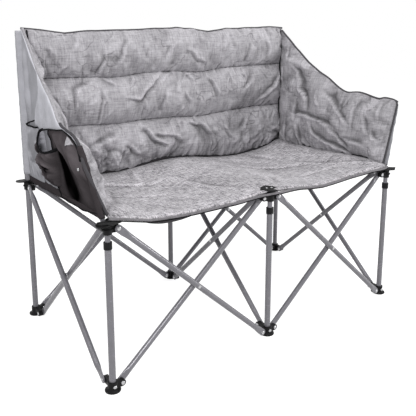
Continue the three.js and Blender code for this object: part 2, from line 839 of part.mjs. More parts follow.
/** The arm poles, standing on the front corner hubs. */
function addPoles() {
  for (const column of columns.filter(({ x }) => x !== 0)) {
    const position = new THREE.Vector3(column.x, frontY, 0);
    addPiece(`arm_pole_${column.name}`, toGeometry(poleTube(Math.sign(column.x))), paint, { position });
  }
}

/** The padded cloth. */
function addCloth() {
  addPiece("seat_rear", seatHalf(seatRearY, seatFoldY + seatHalfGap / 2), greyCloth);
  addPiece("seat_front", seatHalf(seatFoldY - seatHalfGap / 2, seatFrontY), greyCloth);
  addPiece("backrest", backPad(), greyCloth);
  addPiece("arm_panel_left", armPanel(-1), greyCloth);
  addPiece("arm_panel_right", armPanel(1), greyCloth);
  addPiece("cup_pocket", cupPocket(), darkCloth);
  addPiece("flat_pocket", flatPocket(), darkCloth);
  const position = new THREE.Vector3(0, frontY + seatCapSetback, 0);
  addPiece("seat_cap", seatCap(), plastic, { position });
}

addPosts();
addBraces();
addPoles();
addCloth();

export default loveseat;
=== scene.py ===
"""A folding camping loveseat in padded grey cloth, dressed over its packed steel frame.

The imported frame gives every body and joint. This file gives the looks: quilted cloth with its
seams and creases, soft pockets, piping, painted tubes, moulded feet and hubs, and a plain studio.
All lengths are in metres apart from the crease tables, +Z up, +Y from the front legs to the rear posts.
"""

import json
import logging
import math
from dataclasses import dataclass, field
from enum import Enum
from typing import Iterable, Sequence, Union

import bmesh
import bpy
import numpy as np
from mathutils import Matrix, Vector


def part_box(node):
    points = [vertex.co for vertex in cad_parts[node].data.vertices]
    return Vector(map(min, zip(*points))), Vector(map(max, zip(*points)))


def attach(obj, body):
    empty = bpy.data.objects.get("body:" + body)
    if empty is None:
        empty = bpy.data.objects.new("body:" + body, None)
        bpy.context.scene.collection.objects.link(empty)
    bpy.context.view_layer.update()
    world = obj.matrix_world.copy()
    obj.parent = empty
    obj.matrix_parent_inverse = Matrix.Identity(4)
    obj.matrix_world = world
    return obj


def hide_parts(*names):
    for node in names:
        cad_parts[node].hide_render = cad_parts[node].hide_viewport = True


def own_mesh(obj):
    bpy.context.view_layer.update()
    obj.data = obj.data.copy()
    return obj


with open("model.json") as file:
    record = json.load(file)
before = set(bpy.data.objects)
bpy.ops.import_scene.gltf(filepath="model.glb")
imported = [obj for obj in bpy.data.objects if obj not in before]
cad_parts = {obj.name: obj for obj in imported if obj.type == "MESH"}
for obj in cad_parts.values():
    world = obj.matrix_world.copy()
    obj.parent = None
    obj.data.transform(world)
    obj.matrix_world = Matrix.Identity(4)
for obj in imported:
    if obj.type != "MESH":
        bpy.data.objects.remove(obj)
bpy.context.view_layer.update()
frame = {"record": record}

LOG = logging.getLogger("loveseat")
Array = np.ndarray
Value = Union[bpy.types.NodeSocket, float, Sequence[float]]

LATTICE = 64  # corners of the noise lattice along each side, after which it repeats
SHEET = 0.0012  # thickness of plain cloth


class Side(Enum):
    """The two ends of the loveseat, as seen from the front."""

    LEFT = -1
    RIGHT = 1

    @property
    def word(self) -> str:
        """The word used in node and body names."""
        return self.name.lower()


class Slot(Enum):
    """The material slots of the record."""

    PAINT = "frame_paint"
    PLASTIC = "black_plastic"
    STEEL = "rivet_steel"
    GREY = "grey_cloth"
    DARK = "dark_cloth"


class Held(Enum):
    """How a sheet of cloth is held."""

    STRETCHED = "stretched"
    HUNG = "hung"


class Space(Enum):
    """The coordinates that a finish follows."""

    CLOTH = "UV"
    PIECE = "Object"


@dataclass(frozen=True)
class Layout:
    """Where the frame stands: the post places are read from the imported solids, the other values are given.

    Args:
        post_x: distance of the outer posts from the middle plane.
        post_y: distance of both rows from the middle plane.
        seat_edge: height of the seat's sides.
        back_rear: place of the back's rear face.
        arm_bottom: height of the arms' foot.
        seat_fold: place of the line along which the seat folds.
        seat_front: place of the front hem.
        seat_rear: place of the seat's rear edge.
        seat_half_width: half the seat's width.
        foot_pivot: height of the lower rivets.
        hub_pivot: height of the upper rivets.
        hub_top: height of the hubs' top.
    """

    post_x: float
    post_y: float
    seat_edge: float = 0.4605
    back_rear: float = 0.26335
    arm_bottom: float = 0.46085
    seat_fold: float = -0.0085
    seat_front: float = -0.2885
    seat_rear: float = 0.2555
    seat_half_width: float = 0.517
    foot_pivot: float = 0.016
    hub_pivot: float = 0.430
    hub_top: float = 0.448

    @classmethod
    def from_frame(cls) -> "Layout":
        """Read the post places from the tube of the right front post.

        Returns:
            The layout.
        """
        low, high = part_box("slider_front_right")
        centre = (low + high) / 2
        return cls(post_x=centre.x, post_y=-centre.y)


LAYOUT = Layout.from_frame()


def soft_noise(a: Array, b: Array, cell: float, seed: int) -> Array:
    """Smooth noise in -1..1: random values on a square lattice, blended by 3t^2 - 2t^3.

    Args:
        a: first coordinate of each point.
        b: second coordinate of each point.
        cell: size of a lattice cell.
        seed: seed of the lattice values.

    Returns:
        One value per point.
    """
    values = np.random.default_rng(seed).uniform(-1.0, 1.0, (LATTICE, LATTICE))
    x, y = np.asarray(a) / cell, np.asarray(b) / cell
    i, j = np.floor(x).astype(int), np.floor(y).astype(int)
    s, t = x - i, y - j
    s, t = s * s * (3 - 2 * s), t * t * (3 - 2 * t)
    near, far = i % LATTICE, (i + 1) % LATTICE
    low, high = (values[near, column] * (1 - s) + values[far, column] * s
                 for column in (j % LATTICE, (j + 1) % LATTICE))
    return low * (1 - t) + high * t


def crumple(a: Array, b: Array, cell: float, seed: int) -> Array:
    """Height of crumpled cloth, about -1..1: the size of a noise at four scales, on bent coordinates.

    Args:
        a: first coordinate of each point.
        b: second coordinate of each point.
        cell: size of the largest crumples.
        seed: seed of the noises.

    Returns:
        One value per point.
    """
    turned_a, turned_b = 0.87 * a + 0.50 * b, 0.87 * b - 0.50 * a
    bent_a = turned_a + 0.5 * cell * soft_noise(turned_a, turned_b, 1.3 * cell, seed + 1)
    bent_b = turned_b + 0.5 * cell * soft_noise(turned_b, turned_a, 1.3 * cell, seed + 2)
    height = np.zeros(np.shape(a))
    for scale in range(4):
        part = np.abs(soft_noise(bent_a, bent_b, cell / 1.9**scale, seed + 10 + scale))
        height = height + 0.55**scale * (2 * part - 0.7)
    return height


def bent(a: Array, b: Array, amount: float, cell: float, seed: int) -> tuple[Array, Array]:
    """Coordinates moved by a noise, so that lines drawn on them turn out crooked."""
    return a + amount * soft_noise(a, b, cell, seed), b + amount * soft_noise(b, a, cell, seed + 1)


def crown(share: Array, fullness: float) -> Array:
    """Height of a stuffed channel: (4 s (1 - s)) to the power of fullness, 0 at both seams."""
    return np.clip(4 * share * (1 - share), 0, None) ** fullness


def smooth_step(low: float, high: float, value: Array) -> Array:
    """0 below low, 1 above high and 3t^2 - 2t^3 between them."""
    t = np.clip((value - low) / (high - low), 0, 1)
    return t * t * (3 - 2 * t)


def broken_line(corners: Sequence[Sequence[float]], at: Array) -> Array:
    """Height at each place of a line given by its corners, in rising order."""
    table = np.array(corners)
    return np.interp(at, table[:, 0], table[:, 1])


def run_of(path: Array) -> Array:
    """Distance along a line at each of its points."""
    return np.concatenate([[0], np.cumsum(np.linalg.norm(np.diff(path, axis=0), axis=1))])


def resampled(path: Array, step: float) -> Array:
    """The same line with points at even steps.

    Args:
        path: (n, 3) places.
        step: the length of a step, about.

    Returns:
        The new places.
    """
    run = run_of(path)
    places = np.linspace(0, run[-1], max(3, int(run[-1] / step)))
    return np.stack([np.interp(places, run, path[:, k]) for k in range(3)], axis=-1)


def relaxed(line: Array, rounds: int) -> Array:
    """Draw each inner value of a line to its neighbours' mean, in place, and give the line.

    Args:
        line: values along a line.
        rounds: how often it is done.

    Returns:
        The same line.
    """
    for _ in range(rounds):
        line[1:-1] = (line[:-2] + 2 * line[1:-1] + line[2:]) / 4
    return line


def eased(count: int) -> Array:
    """Places from 0.0005 to 0.9995 that crowd at both ends."""
    return 0.5 - 0.5 * np.cos(math.pi * np.linspace(0, 1, count)) * 0.999


def turns(sides: int) -> Array:
    """Even angles round a ring."""
    return np.arange(sides) * 2 * math.pi / sides


@dataclass(frozen=True)
class Crease:
    """A fold pressed into a cloth panel along a broken line.

    Args:
        path: places along the fold, in the panel's own two coordinates.
        depth: how deep the fold is.
        width: half width of the valley.
    """

    path: tuple[tuple[float, float], ...]
    depth: float = 0.006
    width: float = 0.010

    def relief(self, a: Array, b: Array) -> Array:
        """Height change at each point.

        The valley is -depth exp(-(d/s)^1.5) for the distance d to the line, with s = 1.15 w on the
        right of the line and 0.45 w on its left. The lip is 0.75 depth at 1.1 w on the left and
        0.1 depth on the right. Both fade at the ends.

        Args:
            a: first coordinate of each point.
            b: second coordinate of each point.

        Returns:
            One height per point.
        """
        best, share, side = self.distance(a, b)
        fade = smooth_step(-0.12, 0.25, share) * smooth_step(-0.12, 0.25, 1 - share)
        valley = -np.exp(-((best / (self.width * (0.80 - 0.35 * side))) ** 1.5))
        lip = (0.425 + 0.325 * side) * np.exp(-(((best - 1.1 * self.width) / (0.7 * self.width)) ** 2))
        return self.depth * fade * (valley + lip)

    def distance(self, a: Array, b: Array) -> tuple[Array, Array, Array]:
        """Distance to the line, place along it from 0 to 1, and side of it: 1 is left, -1 is right.

        Args:
            a: first coordinate of each point.
            b: second coordinate of each point.

        Returns:
            The distances, the places along and the sides.
        """
        best = np.full(a.shape, np.inf)
        along = np.zeros(a.shape)
        side = np.zeros(a.shape)
        points = np.array(self.path)
        steps = np.linalg.norm(np.diff(points, axis=0), axis=1)
        starts = np.concatenate([[0.0], np.cumsum(steps)])
        for start, end, length, run in zip(points[:-1], points[1:], steps, starts[:-1]):
            direction = (end - start) / length
            da, db = a - start[0], b - start[1]
            t = np.clip(da * direction[0] + db * direction[1], 0, length)
            distance = np.hypot(da - t * direction[0], db - t * direction[1])
            closer = distance < best
            best = np.where(closer, distance, best)
            along = np.where(closer, run + t, along)
            side = np.where(closer, np.sign(direction[0] * db - direction[1] * da), side)
        return best, along / starts[-1], side


def creases_of(*rows: Sequence[int]) -> tuple[Crease, ...]:
    """Creases from a table in whole numbers.

    Args:
        *rows: depth in tenths of a millimetre, half width in millimetres, then the two
            coordinates of each place in millimetres.

    Returns:
        One crease per row.
    """
    creases = []
    for depth, width, *places in rows:
        path = tuple((a / 1000, b / 1000) for a, b in zip(places[::2], places[1::2]))
        creases.append(Crease(path, depth / 10000, width / 1000))
    return tuple(creases)


def relief_of(creases: Iterable[Crease], a: Array, b: Array) -> Array:
    """Sum of the reliefs of several creases."""
    return sum((crease.relief(a, b) for crease in creases), np.zeros(np.shape(a)))


def gathers(lines: Sequence[float], low: float, high: float, count: int, seed: int) -> tuple[Crease, ...]:
    """Short folds that start at seams and run off at an angle.

    Args:
        lines: heights of the seams.
        low: first place along the seams.
        high: last place along the seams.
        count: number of folds for each seam.
        seed: seed of the places, angles and sizes.

    Returns:
        The folds.
    """
    rng = np.random.default_rng(seed)
    folds = []
    for line in lines:
        for place_at in np.sort(rng.uniform(low, high, count)):
            way = rng.choice([-1, 1])
            angle = rng.uniform(0.7, 2.44)
            length = rng.uniform(0.022, 0.062)
            bend = rng.uniform(-0.008, 0.008)
            end = (place_at + length * math.cos(angle), line + way * length * math.sin(angle))
            middle = ((place_at + end[0]) / 2 + bend, (line + end[1]) / 2)
            start = (place_at, line - way * 0.004)
            folds.append(Crease((start, middle, end), rng.uniform(0.0016, 0.0040), rng.uniform(0.004, 0.007)))
    return tuple(folds)


def numbers(rows: int, columns: int) -> Array:
    """Point numbers of a grid, row by row."""
    return np.arange(rows * columns).reshape(rows, columns)


def link_object(name: str, data: bpy.types.ID) -> bpy.types.Object:
    """A new object with this data, in the scene.

    Args:
        name: its name.
        data: its mesh, lamp or camera.

    Returns:
        The object.
    """
    obj = bpy.data.objects.new(name, data)
    bpy.context.scene.collection.objects.link(obj)
    return obj


def grid_quads(index: Array, wrap_rows: bool = False, wrap_columns: bool = False) -> Array:
    """Quads over a grid of point numbers, facing along (column step) x (row step).

    Args:
        index: (rows, columns) point numbers.
        wrap_rows: whether the last row joins the first.
        wrap_columns: whether the last column joins the first.

    Returns:
        (faces, 4) point numbers.
    """
    if wrap_rows:
        index = np.vstack([index, index[:1]])
    if wrap_columns:
        index = np.hstack([index, index[:, :1]])
    corners = [index[:-1, :-1], index[:-1, 1:], index[1:, 1:], index[1:, :-1]]
    return np.stack(corners, axis=-1).reshape(-1, 4)


@dataclass
class Shape:
    """Points, faces and cloth coordinates of a mesh in the making.

    Args:
        points: (n, 3) places.
        quads: (m, 4) point numbers.
        uv: (n, 2) cloth coordinates in metres.
        caps: faces with another number of corners.
        dress: material number of every quad, then of every cap.
        tone: (n,) painted shade and painted light of the cloth, with some random mottle: 0 plain, below 0
            darker, above 0 lighter.
    """

    points: Array
    quads: Array
    uv: Array
    caps: list[list[int]] = field(default_factory=list)
    dress: Array | None = None
    tone: Array | None = None

    def dressed(self, number: int) -> "Shape":
        """The same shape with one material number on all its faces."""
        self.dress = np.full(len(self.quads) + len(self.caps), number, int)
        return self

    def joined(self, *others: "Shape") -> "Shape":
        """This shape and others as one.

        Args:
            *others: the other shapes.

        Returns:
            The new shape, without tones.
        """
        shapes = [self, *others]
        for shape in shapes:
            if shape.dress is None:
                shape.dressed(0)
        starts = np.cumsum([0] + [len(s.points) for s in shapes[:-1]])
        caps = [[c + start for c in cap] for s, start in zip(shapes, starts) for cap in s.caps]
        quad_dress = [s.dress[: len(s.quads)] for s in shapes]
        cap_dress = [s.dress[len(s.quads):] for s in shapes]
        return Shape(
            points=np.vstack([s.points for s in shapes]),
            quads=np.vstack([s.quads + start for s, start in zip(shapes, starts)]),
            uv=np.vstack([s.uv for s in shapes]),
            caps=caps,
            dress=np.concatenate(quad_dress + cap_dress),
        )

    def to_object(self, name: str, *materials: bpy.types.Material) -> bpy.types.Object:
        """A smooth Blender object at the origin, with the points in its mesh.

        Args:
            name: its name.
            *materials: its materials, in the order of the dress numbers.

        Returns:
            The object.
        """
        mesh = bpy.data.meshes.new(name)
        mesh.from_pydata(self.points.tolist(), [], self.quads.tolist() + self.caps)
        loops = np.empty(len(mesh.loops), np.int32)
        mesh.loops.foreach_get("vertex_index", loops)
        layer = mesh.uv_layers.new(name="Cloth")
        layer.data.foreach_set("uv", self.uv[loops].astype(np.float32).ravel())
        mesh.polygons.foreach_set("use_smooth", np.ones(len(mesh.polygons), bool))
        if self.tone is not None:
            shade = mesh.attributes.new("Tone", "FLOAT", "POINT")
            shade.data.foreach_set("value", self.tone.astype(np.float32))
        for material in materials:
            mesh.materials.append(material)
        if self.dress is not None:
            mesh.polygons.foreach_set("material_index", self.dress.astype(np.int32))
        mesh.validate()
        mesh.update()
        return link_object(name, mesh)


def sheet_shape(points: Array, uv: Array, face_down: bool = False) -> Shape:
    """An open sheet on a (rows, columns, 3) grid, facing along (column step) x (row step).

    Args:
        points: (rows, columns, 3) places.
        uv: (rows, columns, 2) cloth coordinates.
        face_down: whether it faces the other way.

    Returns:
        The shape.
    """
    index = numbers(*points.shape[:2])
    if face_down:
        index = index[:, ::-1]
    return Shape(points.reshape(-1, 3), grid_quads(index), uv.reshape(-1, 2))


def shell_shape(face: Array, rear: Array, uv: Array) -> Shape:
    """A closed pad: a face sheet and a rear sheet that share their outline.

    Args:
        face: (rows, columns, 3) grid, seen from outside along (column step) x (row step).
        rear: grid of the same size, whose outline isn't used.
        uv: (rows, columns, 2) cloth coordinates.

    Returns:
        The shape: the points of the face first, then those inside the rear's outline.
    """
    rows, columns = face.shape[:2]
    face_index = numbers(rows, columns)
    rear_index = face_index.copy()
    rear_index[1:-1, 1:-1] = face_index.size + numbers(rows - 2, columns - 2)
    points = np.vstack([face.reshape(-1, 3), rear[1:-1, 1:-1].reshape(-1, 3)])
    cloth = np.vstack([uv.reshape(-1, 2), uv[1:-1, 1:-1].reshape(-1, 2)])
    quads = np.vstack([grid_quads(face_index), grid_quads(rear_index[:, ::-1])])
    return Shape(points, quads, cloth)


def ring_shape(points: Array, uv: Array | None = None, flip: bool = False) -> Shape:
    """A form through rings of points, capped at both ends, facing along (column step) x (row step).

    Args:
        points: (rings, sides, 3) places.
        uv: (rings, sides, 2) cloth coordinates, or none for zeros.
        flip: whether all faces are turned round.

    Returns:
        The shape.
    """
    index = numbers(*points.shape[:2])
    cloth = np.zeros((index.size, 2)) if uv is None else uv.reshape(-1, 2)
    shape = Shape(points.reshape(-1, 3), grid_quads(index, wrap_columns=True), cloth,
                  [index[0][::-1].tolist(), index[-1].tolist()])
    if flip:
        shape.quads = shape.quads[:, ::-1]
        shape.caps = [cap[::-1] for cap in shape.caps]
    return shape


def tube_shape(path: Array, radius: Array | float, reference: Sequence[float], sides: int = 12,
               flatness: float = 1.0) -> Shape:
    """A tube whose rings are path + r (cos a side + flatness sin a up).

    Side is the unit of (direction x reference) and up the unit of (side x direction).

    Args:
        path: (n, 3) middle line.
        radius: one radius, or one for each place on the path.
        reference: a direction that the path never runs along.
        sides: corners of a ring.
        flatness: height of the ring as a share of its width.

    Returns:
        The tube, capped at both ends.
    """
    along = np.gradient(path, axis=0)
    along /= np.linalg.norm(along, axis=1, keepdims=True)
    side = np.cross(along, np.array(reference, float))
    side /= np.linalg.norm(side, axis=1, keepdims=True)
    up = np.cross(side, along)
    turn = turns(sides)[None, :, None]
    wide = np.broadcast_to(np.asarray(radius, float), len(path))[:, None, None]
    ring = np.cos(turn) * side[:, None] + flatness * np.sin(turn) * up[:, None]
    uv = np.concatenate(np.broadcast_arrays(run_of(path)[:, None, None], turn * wide), axis=-1)
    return ring_shape(path[:, None] + wide * ring, uv, flip=True)


def turned_shape(profile: Sequence[tuple[float, float]], centre: Sequence[float], axis: Sequence[float],
                 sides: int = 24) -> Shape:
    """A turned form: points centre + z axis + r (cos a side + sin a up) for each (r, z) of the profile.

    Args:
        profile: radius and height of each ring.
        centre: place of height 0.
        axis: direction of the heights.
        sides: corners of a ring.

    Returns:
        The form, capped at both ends.
    """
    direction = np.array(Vector(axis).normalized())
    side = np.array(Vector(axis).orthogonal().normalized())
    up = np.cross(direction, side)
    table = np.array(profile, float)[:, :, None, None]
    turn = turns(sides)[:, None]
    ring = np.cos(turn) * side + np.sin(turn) * up
    return ring_shape(np.array(centre) + table[:, 1] * direction + table[:, 0] * ring)


def rivet_head(centre: Sequence[float], axis: Sequence[float], radius: float, height: float) -> Shape:
    """A domed rivet head standing on centre along axis.

    Args:
        centre: middle of its foot.
        axis: direction in which it stands.
        radius: its radius.
        height: its height.

    Returns:
        The head.
    """
    rise = np.linspace(0, math.pi / 2, 5)[:-1]
    profile = [(radius, -0.2 * height), (radius, 0.0)]
    profile += [(radius * math.cos(a), height * (0.25 + 0.75 * math.sin(a))) for a in rise]
    return turned_shape(profile, centre, axis, 16)


def swell(obj: bpy.types.Object, held: Array, pressure: float = 3.0, growth: float = 0.035,
          cap: float = 0.010, last_frame: int = 20) -> None:
    """Blow a pad up as cloth, with some of its points held, and keep the result in its mesh.

    Args:
        obj: the closed pad.
        held: whether a seam holds it, for every point.
        pressure: push from inside.
        growth: share by which the cloth is cut larger than its form.
        cap: furthest that a point may move.
        last_frame: number of frames that the cloth is given.
    """
    scene = bpy.context.scene
    group = obj.vertex_groups.new(name="held")
    group.add(np.flatnonzero(held).tolist(), 1.0, "REPLACE")
    cloth = obj.modifiers.new("Cloth", "CLOTH")
    settings = {
        "quality": 6, "mass": 0.3, "tension_stiffness": 20, "compression_stiffness": 20, "shear_stiffness": 8,
        "bending_stiffness": 1.5, "air_damping": 2, "use_pressure": True, "uniform_pressure_force": pressure,
        "shrink_min": -growth, "vertex_group_mass": group.name, "pin_stiffness": 1,
    }
    for name, value in settings.items():
        setattr(cloth.settings, name, value)
    cloth.settings.effector_weights.gravity = 0
    cloth.collision_settings.use_collision = False
    cloth.collision_settings.use_self_collision = False
    cloth.point_cache.frame_start = 1
    cloth.point_cache.frame_end = last_frame
    for number in range(1, last_frame + 1):
        scene.frame_set(number)
    rest, moved = np.empty((2, len(obj.data.vertices) * 3), np.float32)
    obj.data.vertices.foreach_get("co", rest)
    evaluated = obj.evaluated_get(bpy.context.evaluated_depsgraph_get())
    evaluated.data.vertices.foreach_get("co", moved)
    step = (moved - rest).reshape(-1, 3)
    length = np.linalg.norm(step, axis=1, keepdims=True)
    step *= np.minimum(1, cap / np.maximum(length, 1e-9)) * np.isfinite(length)
    obj.modifiers.remove(cloth)
    obj.vertex_groups.remove(group)
    obj.data.vertices.foreach_set("co", (rest.reshape(-1, 3) + np.nan_to_num(step)).ravel())
    obj.data.update()
    scene.frame_set(1)


def point_places(obj: bpy.types.Object) -> Array:
    """Places of all points of a mesh.

    Args:
        obj: the object.

    Returns:
        (n, 3) places.
    """
    places = np.empty(len(obj.data.vertices) * 3, np.float32)
    obj.data.vertices.foreach_get("co", places)
    return places.reshape(-1, 3).astype(float)


def point_tones(obj: bpy.types.Object) -> Array:
    """Tone of all points of a mesh.

    Args:
        obj: the object, whose mesh has Tone.

    Returns:
        One value per point.
    """
    tones = np.empty(len(obj.data.vertices), np.float32)
    obj.data.attributes["Tone"].data.foreach_get("value", tones)
    return tones.astype(float)


def reshape_points(obj: bpy.types.Object, places: Array, tones: Array) -> None:
    """Give all points of a mesh new places and tones.

    Args:
        obj: the object, whose mesh has Tone.
        places: (n, 3) places.
        tones: one value per point.
    """
    obj.data.vertices.foreach_set("co", places.astype(np.float32).ravel())
    obj.data.attributes["Tone"].data.foreach_set("value", tones.astype(np.float32))
    obj.data.update()


def subdivide(obj: bpy.types.Object, levels: int = 1) -> None:
    """Give a piece live subdivision, the same in the viewport and the render.

    Args:
        obj: the piece.
        levels: how often each face is split.
    """
    modifier = obj.modifiers.new("Subdivision", "SUBSURF")
    modifier.levels = levels
    modifier.render_levels = levels


def apply_modifiers(obj: bpy.types.Object) -> None:
    """Put the evaluated mesh in place of the object's own and drop its modifiers.

    Args:
        obj: the piece.
    """
    evaluated = obj.evaluated_get(bpy.context.evaluated_depsgraph_get())
    mesh = bpy.data.meshes.new_from_object(evaluated)
    obj.modifiers.clear()
    obj.data = mesh


def mark_sharp(obj: bpy.types.Object, degrees: float) -> None:
    """Keep edges sharper than an angle sharp in the shading."""
    obj.data.set_sharp_from_angle(angle=math.radians(degrees))


class NodeBoard:
    """A material's nodes, added and wired in short calls."""

    def __init__(self, name: str) -> None:
        """Start a material with its shader.

        Args:
            name: the material's name.
        """
        self.material = bpy.data.materials.new(name)
        self.material.use_nodes = True
        self.nodes = self.material.node_tree.nodes
        self.links = self.material.node_tree.links
        self.shader = self.nodes["Principled BSDF"]

    def add(self, kind: str, values: dict[str | int, Value] | None = None, **settings: str) -> bpy.types.Node:
        """Add a node.

        Args:
            kind: the node's type.
            values: input name or number to a value, or to the output socket that feeds it.
            **settings: properties of the node.

        Returns:
            The node.
        """
        node = self.nodes.new(kind)
        for key, value in settings.items():
            setattr(node, key, value)
        for key, value in (values or {}).items():
            self.feed(node.inputs[key], value)
        return node

    def feed(self, socket: bpy.types.NodeSocket, value: Value) -> None:
        """Set an input, or wire an output to it.

        Args:
            socket: the input.
            value: a plain value, or the output that feeds it.
        """
        if isinstance(value, bpy.types.NodeSocket):
            self.links.new(value, socket)
        else:
            socket.default_value = value

    def coordinates(self, space: Space, scale: Sequence[float] = (1, 1, 1), turn: float = 0.0) -> Value:
        """Object or UV coordinates, scaled and turned about Z.

        Args:
            space: which of the two.
            scale: factor for each coordinate.
            turn: angle about Z.

        Returns:
            The output.
        """
        source = self.add("ShaderNodeTexCoord").outputs[space.value]
        mapping = self.add("ShaderNodeMapping", {"Vector": source, "Scale": scale, "Rotation": (0, 0, turn)})
        return mapping.outputs["Vector"]

    def noise(self, vector: Value, scale: float, detail: float = 2.0, roughness: float = 0.5) -> Value:
        """Fractal noise in 0..1."""
        values = {"Vector": vector, "Scale": scale, "Detail": detail, "Roughness": roughness}
        return self.add("ShaderNodeTexNoise", values).outputs["Fac"]

    def math(self, operation: str, first: Value, second: Value = 0.0) -> Value:
        """One sum on two values."""
        return self.add("ShaderNodeMath", {0: first, 1: second}, operation=operation).outputs[0]

    def spread(self, value: Value, low: float, high: float, to_low: float = 0.0, to_high: float = 1.0) -> Value:
        """Stretch a range of values onto another one."""
        values = {"Value": value, "From Min": low, "From Max": high, "To Min": to_low, "To Max": to_high}
        return self.add("ShaderNodeMapRange", values).outputs["Result"]

    def mix(self, share: Value, first: Value, second: Value) -> Value:
        """A colour between two colours.

        Args:
            share: share of the second colour.
            first: colour at share 0.
            second: colour at share 1.

        Returns:
            The output.
        """
        node = self.add("ShaderNodeMix", data_type="RGBA")
        self.feed(node.inputs["Factor"], share)
        self.feed(node.inputs[6], first)
        self.feed(node.inputs[7], second)
        return node.outputs[2]

    def toned(self, colour: Value, depth: float) -> Value:
        """A colour made darker or lighter by the mesh's own Tone, which holds painted shade and painted light:
        colour (1 + depth tone).

        Args:
            colour: the colour.
            depth: how strongly Tone works.

        Returns:
            The output.
        """
        tone = self.add("ShaderNodeAttribute", attribute_name="Tone").outputs["Fac"]
        factor = self.math("ADD", self.math("MULTIPLY", tone, depth), 1.0)
        scaled = self.add("ShaderNodeVectorMath", {0: colour, 3: factor}, operation="SCALE")
        return scaled.outputs[0]

    def bump(self, height: Value, distance: float, strength: float = 1.0, under: Value | None = None) -> Value:
        """Relief in the shading, laid over an earlier one.

        Args:
            height: the relief.
            distance: height of the relief's 1 in metres.
            strength: share of the effect.
            under: the earlier relief.

        Returns:
            The output.
        """
        values = {"Height": height, "Distance": distance, "Strength": strength}
        if under is not None:
            values["Normal"] = under
        return self.add("ShaderNodeBump", values).outputs["Normal"]

    def surface(self, **sockets: Value) -> bpy.types.Material:
        """Feed the shader's inputs, with spaces as underscores, and give the material.

        Args:
            **sockets: input names to values or outputs.

        Returns:
            The material.
        """
        for name, value in sockets.items():
            self.feed(self.shader.inputs[name.replace("_", " ")], value)
        return self.material


def rgb(colour: Sequence[float], factor: float = 1.0) -> tuple[float, ...]:
    """A solid colour from three linear values, times a factor."""
    return (*(part * factor for part in colour), 1.0)


def even_grey(value: float) -> tuple[float, ...]:
    """A solid grey from one linear value."""
    return rgb((value, value, value))


@dataclass(frozen=True)
class LinenFinish:
    """Mottled grey weave with uneven threads both ways.

    Args:
        name: the material's name.
        light: colour of the pale threads.
        dark: colour of the dark threads.
        turn: angle of the threads on the panel.
        thread_width: width of a fine thread.
        thread_length: length of a fine streak.
        slub_width: width of a thick thread.
        slub_length: length of a thick streak.
        fleck: size of the flecks.
        contrast: how far the threads reach from dark to light.
        creasing: strength of the fine crease lines, which are painted dark as shade.
    """

    name: str = "grey_linen"
    light: tuple[float, float, float] = (0.57, 0.556, 0.585)
    dark: tuple[float, float, float] = (0.13, 0.124, 0.135)
    turn: float = 0.0
    thread_width: float = 0.0011
    thread_length: float = 0.012
    slub_width: float = 0.0024
    slub_length: float = 0.040
    fleck: float = 0.0011
    contrast: float = 1.0
    creasing: float = 1.0

    def crinkles(self, board: NodeBoard) -> Value:
        """Fine crease lines, 0 to 1: where a broad noise passes through its middle, in patches.

        Args:
            board: the material's nodes.

        Returns:
            The output.
        """
        broad = board.noise(board.coordinates(Space.CLOTH, (1.0, 1.5, 1.0), 0.5), 9.0, 2.0, 0.5)
        away = board.math("ABSOLUTE", board.math("SUBTRACT", broad, 0.5))
        patches = board.spread(board.noise(board.coordinates(Space.CLOTH), 8.0, 1.0), 0.44, 0.60)
        return board.math("MULTIPLY", board.spread(away, 0.0, 0.014, self.creasing, 0.0), patches)

    def make(self) -> bpy.types.Material:
        """Threads are stretched noise, one set along each cloth coordinate, over a fine fleck.

        Returns:
            The material.
        """
        board = NodeBoard(self.name)
        streaks = []
        for width, length in ((self.thread_width, self.thread_length), (self.slub_width, self.slub_length)):
            fine, coarse = 1 / width, 1 / length
            for scale in ((fine, coarse, 1), (coarse, fine, 1)):
                vector = board.coordinates(Space.CLOTH, scale, self.turn)
                streaks.append(board.noise(vector, 0.6, 2.0, 0.6))
        fine_sum = board.math("ADD", streaks[0], streaks[1])
        slub_sum = board.math("ADD", streaks[2], streaks[3])
        threads = board.math("ADD", fine_sum, slub_sum)
        scale = 1 / self.fleck
        flecks = board.noise(board.coordinates(Space.CLOTH, (scale, scale, 1), self.turn), 0.7, 1.0)
        wash = board.noise(board.coordinates(Space.CLOTH), 9.0, 3.0)
        woven = board.math("ADD", threads, flecks)
        half = 0.62 / self.contrast
        tone = board.math("ADD", board.spread(woven, 2.5 - half, 2.5 + half, 0.12, 0.88),
                          board.spread(wash, 0.3, 0.7, -0.07, 0.07))
        crinkles = self.crinkles(board)
        # painted shade: the fine crease lines darken the colour
        tone = board.math("SUBTRACT", tone, board.math("MULTIPLY", crinkles, 0.30))
        colour = board.toned(board.mix(tone, rgb(self.dark), rgb(self.light)), 0.6)
        relief = board.bump(threads, 0.0005, 0.5)
        relief = board.bump(board.math("SUBTRACT", 1.0, crinkles), 0.0014, 0.6, relief)
        ripples = board.noise(board.coordinates(Space.CLOTH), 60.0, 5.0, 0.62)
        relief = board.bump(ripples, 0.0030, 0.6, relief)
        return board.surface(Base_Color=colour, Roughness=0.94, Sheen_Weight=0.1, Sheen_Roughness=0.5,
                             Specular_IOR_Level=0.2, Normal=relief)


